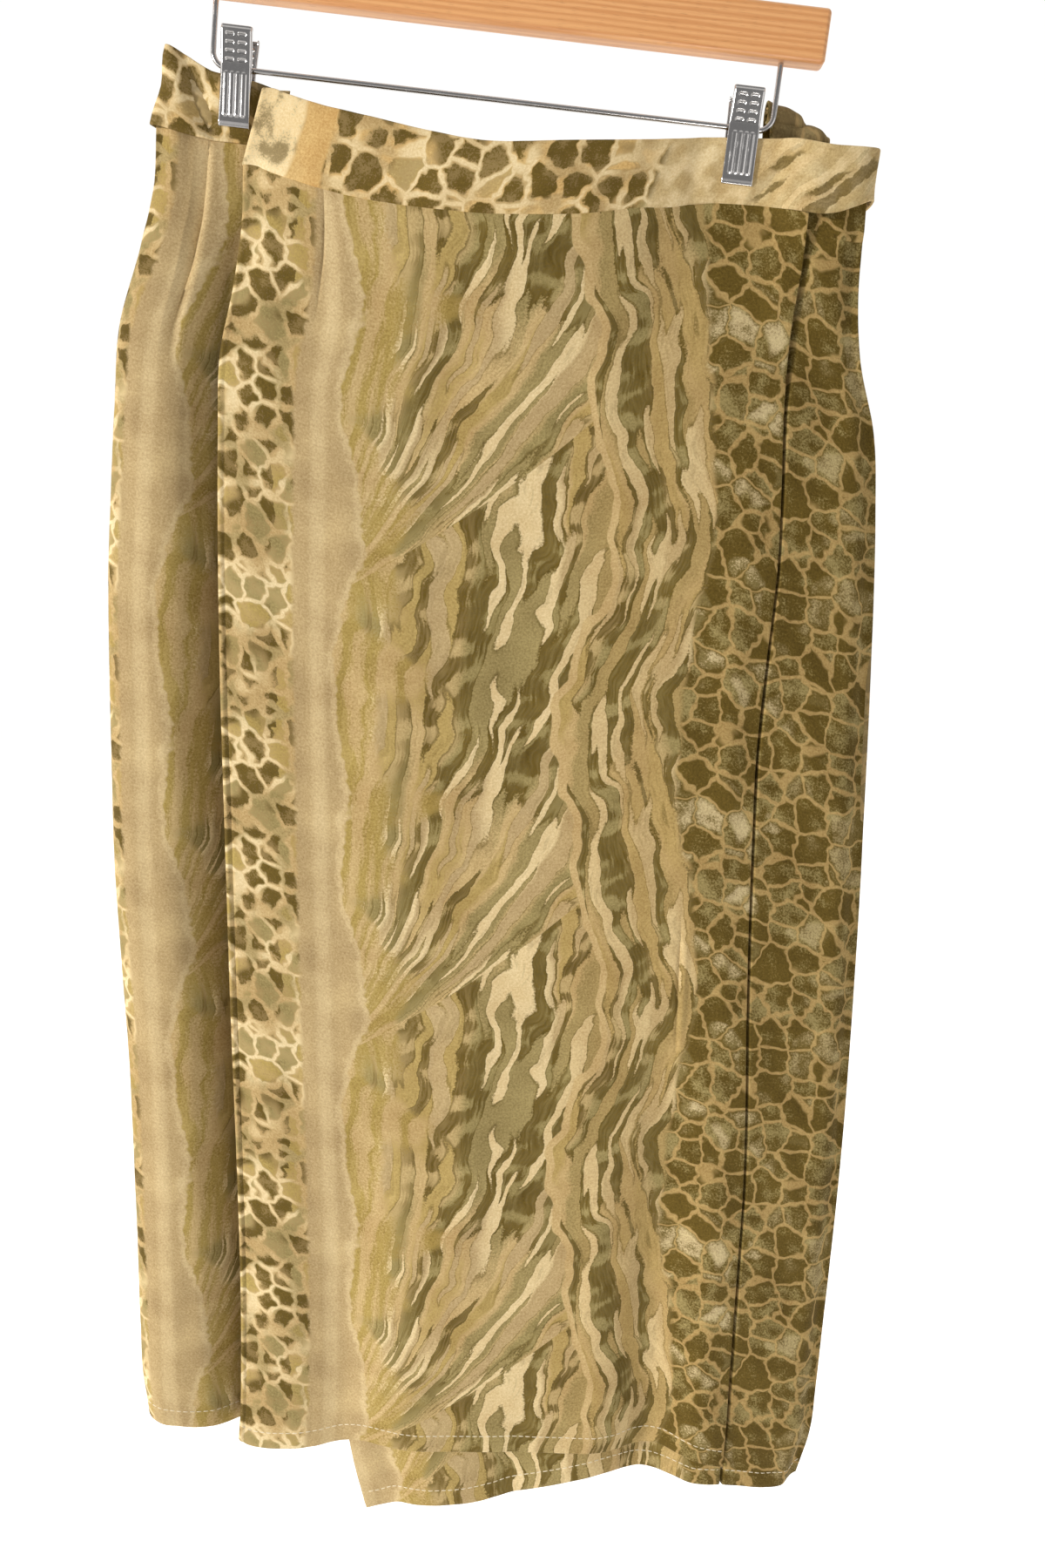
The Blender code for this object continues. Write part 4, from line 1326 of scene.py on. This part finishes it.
def cloth_finish(kind, inner, scene):
    """The printed crepe. Its inner side shows the print paler."""
    name = f"printed_{kind}_{'inside' if inner else 'outside'}"
    if name in bpy.data.materials:
        return bpy.data.materials[name]
    finish = Finish(bpy.data.materials.new(name))
    drawn = Print(finish, scene.skirt_print)
    colour = drawn.skin() if kind == "panel" else drawn.band()
    mottle = 0.5 + (drawn.cloud - 0.5) * 0.5 + (drawn.patch - 0.5) * 0.25 + drawn.grain * 1.1
    colour = finish.mix(colour, finish.join(mottle, mottle, mottle), 0.8, "SOFT_LIGHT")
    if inner:
        colour = drawn.mix(colour, "greige", INSIDE_PALER)
    weave = finish.noise(finish.join(drawn.u, drawn.v * 0.6, 0.0), CREPE_PITCH, 1.0)
    threads = finish.sine(drawn.u * (tau / THREAD_PITCH))
    finish.set(
        base_color=colour,
        normal=finish.bump(weave + threads * 0.12, 0.35, 0.08),
        roughness=0.78 - drawn.cloud * 0.12,
        sheen_weight=0.02,
        sheen_roughness=0.45,
        specular_ior_level=0.08,
    )
    return finish.material


def thread_finish(scene):
    """Twisted sewing thread."""
    if "sewing_thread" in bpy.data.materials:
        return bpy.data.materials["sewing_thread"]
    finish = Finish(bpy.data.materials.new("sewing_thread"))
    along = finish.part(finish.place(), 0) / MM
    twist = finish.sine(along * (tau / TWIST_PITCH)) * 0.5 + 0.5
    thread = scene.skirt_print.thread
    shade = finish.mix(opaque(thread), opaque(thread, 0.75), twist * 0.5)
    finish.set(base_color=shade, roughness=0.6)
    return finish.material


# ---------------- the hanger


def tilted(made):
    """Turns a piece that was made in the hanger's own frame as the hanger hangs."""
    made.data.transform(Matrix.Rotation(HANGER_TILT, 4, "Y"))
    return made


def wood_finish(scene):
    """Orange-tan wood with fine grain along the bar, under a satin lacquer."""
    settings = scene.skirt_hanger
    finish = Finish(bpy.data.materials.new("lacquered_wood"))
    join, noise_in = finish.join, finish.noise
    place = finish.place()
    x, y, z = (finish.part(place, i) / MM for i in range(3))
    height = z + x * HANGER_TILT
    wander = (noise_in(join(x * 0.05, y, height), 6.0, 2.0) - 0.5) * 5
    rings = finish.sine((height + y * 0.6 + wander) * 1.9) * 0.5 + 0.5
    streaks = noise_in(join(x * 0.06, y * 2, height * 2.2), 1.6, 3.0, 0.6)
    pores = finish.between(noise_in(join(x * 0.12, y * 3, height * 3), 0.9, 1.0), 0.60, 0.72)
    light, dark = opaque(settings.wood_light), opaque(settings.wood_dark)
    colour = finish.mix(light, dark, rings * 0.45 + streaks * 0.55)
    finish.set(
        base_color=finish.mix(colour, opaque(settings.wood_dark, 0.55), pores * 0.35),
        normal=finish.bump(streaks - pores * 0.6, 0.3, 0.1),
        roughness=0.36 + streaks * 0.14,
        coat_weight=0.35,
        coat_roughness=0.22,
    )
    return finish.material


def steel_finish(scene):
    """Bright plating with faint draw marks and handling scuffs."""
    if "plated_steel" in bpy.data.materials:
        return bpy.data.materials["plated_steel"]
    finish = Finish(bpy.data.materials.new("plated_steel"))
    place = finish.place()
    x, y, z = (finish.part(place, i) / MM for i in range(3))
    marks = finish.noise(finish.join(x * 2.2, y * 2.2, z * 0.25), 1.2, 2.0)
    scuffs = finish.between(finish.noise(place, 0.006, 4.0, 0.65), 0.50, 0.72)
    steel = scene.skirt_hanger.steel
    finish.set(
        base_color=finish.mix(opaque(steel), opaque(steel, 0.72), marks * 0.5),
        normal=finish.bump(marks, 0.12, 0.05),
        metallic=1.0,
        roughness=0.14 + marks * 0.10 + scuffs * 0.12,
    )
    return finish.material


def make_bar(scene):
    """Builds the wooden bar, a long block with rounded edges."""
    shape = bmesh.new()
    bmesh.ops.create_cube(shape, size=1.0)
    for vertex in shape.verts:
        vertex.co = vertex.co * BAR_SIZE * MM
        vertex.co.z += BAR_MIDDLE * MM
    bmesh.ops.bevel(
        shape,
        geom=shape.edges,
        offset=BAR_ROUND * MM,
        segments=BAR_ROUND_STEPS,
        profile=0.5,
        affect="EDGES",
    )
    bar = tilted(smooth_object("wooden_bar", shape))
    dress(bar, [wood_finish(scene)], ["hanger_bar"])


def arc(centre, radius, start, stop, steps):
    """Points (x, z) on a part of a circle."""
    angles = [start + (stop - start) * k / steps for k in range(steps + 1)]
    return [(centre[0] + radius * cos(a), centre[1] + radius * sin(a)) for a in angles]


def make_wire(name, path, radius, nodes, scene):
    """Builds a round wire along points (x, z) in the hanger's frame, in place of CAD nodes."""
    points = [Vector((x, 0.0, z)) for x, z in path]
    sideways = Vector((0.0, 1.0, 0.0))
    turns = [tau * k / WIRE_SIDES for k in range(WIRE_SIDES)]
    places = []
    for i, point in enumerate(points):
        before = point - points[i - 1] if i else points[1] - point
        after = points[i + 1] - point if i + 1 < len(points) else before
        along = (before.normalized() + after.normalized()).normalized()
        out = along.cross(sideways) / max(WIRE_MITRE, along.dot(after.normalized()))
        places += [(point + (out * cos(a) + sideways * sin(a)) * radius) * MM for a in turns]
    shape = closed_bmesh(places, tube_faces(0, len(points), WIRE_SIDES))
    wire = tilted(smooth_object(name, shape, WIRE_SHARP))
    dress(wire, [steel_finish(scene)], nodes)


def hook_path():
    """A straight stem, a short bend to the right, then the round crook."""
    crook = HOOK_INNER_RADIUS + HOOK_WIRE
    reach = crook + HOOK_NECK_RADIUS
    neck_z = -HOOK_INNER_RADIUS - (reach**2 - HOOK_NECK_RADIUS**2) ** 0.5
    lean = pi / 2 - asin(HOOK_NECK_RADIUS / reach)
    neck = arc((HOOK_NECK_RADIUS, neck_z), HOOK_NECK_RADIUS, pi, pi - lean, BEND_STEPS)
    round_part = arc((0.0, -HOOK_INNER_RADIUS), crook, -lean, HOOK_TIP_ANGLE, CROOK_STEPS)
    return [(0.0, BAR_MIDDLE + BAR_SIZE.z / 2 - WIRE_SUNK)] + neck + round_part[1:]


def clip_wire_path():
    """From the wood down, along under the bar and up to the wood again."""
    end, bend = CLIP_WIRE_SPAN / 2, CLIP_WIRE_BEND
    top = BAR_MIDDLE - BAR_SIZE.z / 2 + WIRE_SUNK
    left = arc((-end + bend, WIRE_Z + bend), bend, pi, 1.5 * pi, BEND_STEPS)
    right = arc((end - bend, WIRE_Z + bend), bend, 1.5 * pi, 2 * pi, BEND_STEPS)
    return [(-end, top)] + left + right + [(end, top)]


def make_barrel(node, scene):
    """Copies a CAD barrel's own shape with its corners joined, so that it is shaded round."""
    shape = bmesh.new()
    shape.from_mesh(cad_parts[node].data)
    bmesh.ops.remove_doubles(shape, verts=shape.verts, dist=WELD)
    barrel = smooth_object(node + "_steel", shape, BARREL_SHARP)
    dress(barrel, [steel_finish(scene)], [node])


def clip_outline():
    """The plate's cross-section, (x, depth), from side to side. depth is how far behind the face a
    point lies."""
    flat = CLIP_WIDTH / 2 - CLIP_CORNER
    points = [(CLIP_WIDTH / 2, share * CLIP_LIP) for share in (1.0, 0.8)]
    for angle in np.linspace(0, pi / 2, CORNER_POINTS):
        points.append((flat + CLIP_CORNER * cos(angle), CLIP_CORNER - CLIP_CORNER * sin(angle)))
    points += [(x, 0.0) for x in np.linspace(flat, 0.0, FACE_POINTS)[1:]]
    return [(-x, depth) for x, depth in points] + points[-2::-1]


def pressed(x, z, settings):
    """How deep the plate's face is pressed in at a place, in millimetres. Flutes stand out."""
    flute, slot = settings.flute / MM, settings.slot / MM
    ends = ease((FLUTE_TOP - z) / FLUTE_ENDS) * ease((z - FLUTE_FOOT) / FLUTE_ENDS)
    deep = 0.0
    for middle in FLUTES:
        if abs(x - middle) < FLUTE_HALF_WIDTH:
            round_part = cos((x - middle) * pi / (2 * FLUTE_HALF_WIDTH))
            deep -= flute * ends * max(0.0, round_part) ** FLUTE_ROUND
    for column in SLOT_COLUMNS:
        for height in SLOT_HEIGHTS:
            beside = max(0.0, abs(x - column) - SLOT_STRAIGHT) / SLOT_END
            away = hypot(beside, (z - height) / SLOT_HALF_HEIGHT)
            deep += slot * (1 - ease((away - SLOT_RIM) / SLOT_RIM_WIDTH))
    return deep


def clip_plate(clip, facing, scene):
    """Builds one pressed plate of a clip, as a shell. facing is -1 for the front plate."""
    above = np.linspace(CLIP_TOP, ROWS_GAP[0], ROWS_ABOVE)
    below = np.linspace(ROWS_GAP[1], -CLIP_JAW, ROWS_BELOW)
    points = []
    for z in np.r_[above, below]:
        if z > 0:
            spread = CLIP_SPREAD_WIRE + (CLIP_SPREAD_TOP - CLIP_SPREAD_WIRE) * z / CLIP_TOP
        else:
            spread = CLIP_SPREAD_WIRE + (clip.jaw - CLIP_SPREAD_WIRE) * -z / CLIP_JAW
        room = min(1.0, max(LIP_LEAST, (spread + LIP_ROOM - clip.jaw) / CLIP_LIP))
        at_top = ease((z - CLIP_TOP + TOP_BEND_HEIGHT) / TOP_BEND_HEIGHT)
        at_jaw = ease((-CLIP_JAW + JAW_BEND_HEIGHT - z) / JAW_BEND_HEIGHT)
        bend = TOP_BEND * at_top + JAW_BEND * at_jaw
        line = []
        for x, depth in clip_outline():
            inner = 1 - ease((abs(x) - PRESSED_WIDTH) / PRESSED_EDGE)
            out = spread + CLIP_FACE - depth * room - bend
            out -= pressed(x, z, scene.skirt_hanger) * inner * PRESSED_SHARE
            line.append((clip.along + x, facing * out, WIRE_Z + z))
        points.append(line)
    points = np.array(points) * MM
    normals = normals_of(points, facing)
    half = np.full(points.shape[:2], CLIP_SHEET * MM / 2)
    points = points - normals * half[:, :, None]
    zero = np.zeros(points.shape[:2])
    node = f"clip_{clip.side}_{'front' if facing == -1 else 'back'}"
    plate = tilted(shell(node + "_plate", points, normals, half, zero, zero))
    dress(plate, [steel_finish(scene)] * 2, [node])


# ---------------- the stage


def make_floor(settings):
    """Builds the floor: grey on the camera's side, and as pale as the backdrop behind."""
    shape = bmesh.new()
    bmesh.ops.create_circle(shape, cap_ends=True, radius=FLOOR_RADIUS, segments=96)
    for vertex in shape.verts:
        vertex.co.z = -settings.floor
    floor = smooth_object("floor", shape)
    finish = Finish(bpy.data.materials.new("pale_floor"))
    place = finish.place()
    pale = opaque(settings.backdrop)
    behind = finish.between(finish.part(place, 1), *FLOOR_FADE)
    speckled = finish.mix(pale, opaque(settings.backdrop, 0.97), finish.noise(place, 0.004, 2.0))
    finish.set(
        base_color=finish.mix(opaque(settings.floor_front), speckled, behind),
        roughness=0.9,
        emission_color=finish.mix(opaque((0.0, 0.0, 0.0)), pale, behind),
        emission_strength=FLOOR_GLOW,
    )
    floor.data.materials.append(finish.material)


def make_surroundings(scene):
    """Sets the surroundings: pale behind and above, and a plain grey behind the camera."""
    settings = scene.skirt_stage
    scene.world = bpy.data.worlds.new("pale_studio")
    studio = Finish(scene.world, "Background")
    direction = studio.place("Generated")
    back_and_up = studio.part(direction, 1) * 0.8 + studio.part(direction, 2) * 0.6
    behind = studio.between(back_and_up, *WORLD_FADE)
    colour = studio.mix(opaque(settings.front), opaque(settings.backdrop), behind)
    studio.set(color=colour, strength=WORLD_STRENGTH)


def make_lights(settings):
    """Builds the round lamps, which all aim at the skirt's middle."""
    for name, place, size, power in LIGHTS:
        lamp = bpy.data.lights.new(name, "AREA")
        lamp.shape = "DISK"
        lamp.size = size
        lamp.energy = power * settings.key
        lamp.color = LIGHT_TINT
        light = link_object(name, lamp)
        light.location = place
        aim = Vector(LIGHT_AIM) - light.location
        light.rotation_euler = aim.to_track_quat("-Z", "Y").to_euler()


def make_camera(scene):
    """Builds the camera, level but for its pitch and roll."""
    settings = scene.skirt_stage
    lens = bpy.data.cameras.new("camera")
    lens.lens = settings.lens
    lens.sensor_width = SENSOR
    lens.sensor_fit = "AUTO"
    lens.clip_start = NEAREST
    camera = link_object("camera", lens)
    level = Matrix.Rotation(pi / 2 - settings.pitch, 4, "X")
    roll = Matrix.Rotation(settings.roll, 4, "Z")
    camera.matrix_world = Matrix.Translation(settings.camera) @ level @ roll
    scene.camera = camera
    scene.view_settings.view_transform = "Standard"


# ---------------- operators


class SkirtOperator(bpy.types.Operator):
    """What the skirt's operators share"""

    bl_options = {"REGISTER", "UNDO"}


class SKIRT_OT_over_wrap(SkirtOperator):
    """Build the over wrap with its fold, its creases and its hem stitches"""

    bl_idname = "skirt.over_wrap"
    bl_label = "Over wrap"

    def execute(self, context):
        make_sheet("over_wrap", context)
        return {"FINISHED"}


class SKIRT_OT_under_wrap(SkirtOperator):
    """Build the under wrap behind the over wrap"""

    bl_idname = "skirt.under_wrap"
    bl_label = "Under wrap"

    def execute(self, context):
        make_sheet("under_wrap", context)
        return {"FINISHED"}


class SKIRT_OT_side_front(SkirtOperator):
    """Build the side front, left of the over wrap's fold"""

    bl_idname = "skirt.side_front"
    bl_label = "Side front"

    def execute(self, context):
        make_sheet("side_front", context)
        return {"FINISHED"}


class SKIRT_OT_back_panel(SkirtOperator):
    """Build the back panel, from one side seam to the other"""

    bl_idname = "skirt.back_panel"
    bl_label = "Back panel"

    def execute(self, context):
        make_sheet("back_panel", context)
        return {"FINISHED"}


class SKIRT_OT_waistbands(SkirtOperator):
    """Build the three stretches of the waistband"""

    bl_idname = "skirt.waistbands"
    bl_label = "Waistbands"

    def execute(self, context):
        for name, sheet in SHEETS.items():
            if sheet.kind == "band":
                make_sheet(name, context)
        return {"FINISHED"}


class SKIRT_OT_tie_tail(SkirtOperator):
    """Build the rolled tail of the tie behind the right clip"""

    bl_idname = "skirt.tie_tail"
    bl_label = "Tie tail"

    def execute(self, context):
        make_tail(context.scene)
        return {"FINISHED"}


class SKIRT_OT_hanger(SkirtOperator):
    """Build the wooden bar, the hook and the wire under the bar"""

    bl_idname = "skirt.hanger"
    bl_label = "Bar, hook and wire"

    def execute(self, context):
        scene = context.scene
        make_bar(scene)
        make_wire("hook_steel", hook_path(), HOOK_WIRE, ["hanger_hook"], scene)
        wires = ["clip_wire", "clip_wire_left", "clip_wire_right"]
        make_wire("clip_wire_steel", clip_wire_path(), CLIP_WIRE, wires, scene)
        return {"FINISHED"}


class SKIRT_OT_clips(SkirtOperator):
    """Build the two clips: fluted plates in front and behind, on a barrel"""

    bl_idname = "skirt.clips"
    bl_label = "Clips"

    def execute(self, context):
        for clip in CLIPS:
            for facing in (-1, 1):
                clip_plate(clip, facing, context.scene)
            make_barrel(f"clip_{clip.side}_barrel", context.scene)
        return {"FINISHED"}


class SKIRT_OT_stage(SkirtOperator):
    """Build the floor, the lights, the surroundings and the camera"""

    bl_idname = "skirt.stage"
    bl_label = "Stage"

    def execute(self, context):
        make_floor(context.scene.skirt_stage)
        make_surroundings(context.scene)
        make_lights(context.scene.skirt_stage)
        make_camera(context.scene)
        return {"FINISHED"}


# In the order in which main calls them
OPERATORS = (
    SKIRT_OT_stage,
    SKIRT_OT_back_panel,
    SKIRT_OT_side_front,
    SKIRT_OT_under_wrap,
    SKIRT_OT_over_wrap,
    SKIRT_OT_waistbands,
    SKIRT_OT_tie_tail,
    SKIRT_OT_hanger,
    SKIRT_OT_clips,
)


class SKIRT_PT_panel(bpy.types.Panel):
    """Lists the operators that build the skirt and its hanger"""

    bl_label = "Wrap skirt"
    bl_idname = "SKIRT_PT_panel"
    bl_space_type = "VIEW_3D"
    bl_region_type = "UI"
    bl_category = "Skirt"

    def draw(self, context):
        for operator in OPERATORS:
            self.layout.operator(operator.bl_idname)


SETTINGS = {
    "skirt_cloth": SkirtClothSettings,
    "skirt_print": SkirtPrintSettings,
    "skirt_hanger": SkirtHangerSettings,
    "skirt_stage": SkirtStageSettings,
}


def register():
    """Registers the settings, the operators and the panel."""
    for name, group in SETTINGS.items():
        bpy.utils.register_class(group)
        setattr(bpy.types.Scene, name, PointerProperty(type=group))
    for operator in OPERATORS:
        bpy.utils.register_class(operator)
    bpy.utils.register_class(SKIRT_PT_panel)


def unregister():
    """Takes away what register added."""
    bpy.utils.unregister_class(SKIRT_PT_panel)
    for operator in reversed(OPERATORS):
        bpy.utils.unregister_class(operator)
    for name, group in SETTINGS.items():
        delattr(bpy.types.Scene, name)
        bpy.utils.unregister_class(group)


def main():
    """Registers the add-on and builds everything."""
    register()
    for operator in OPERATORS:
        getattr(bpy.ops.skirt, operator.bl_idname.split(".")[1])()


if __name__ == "__main__":
    main()
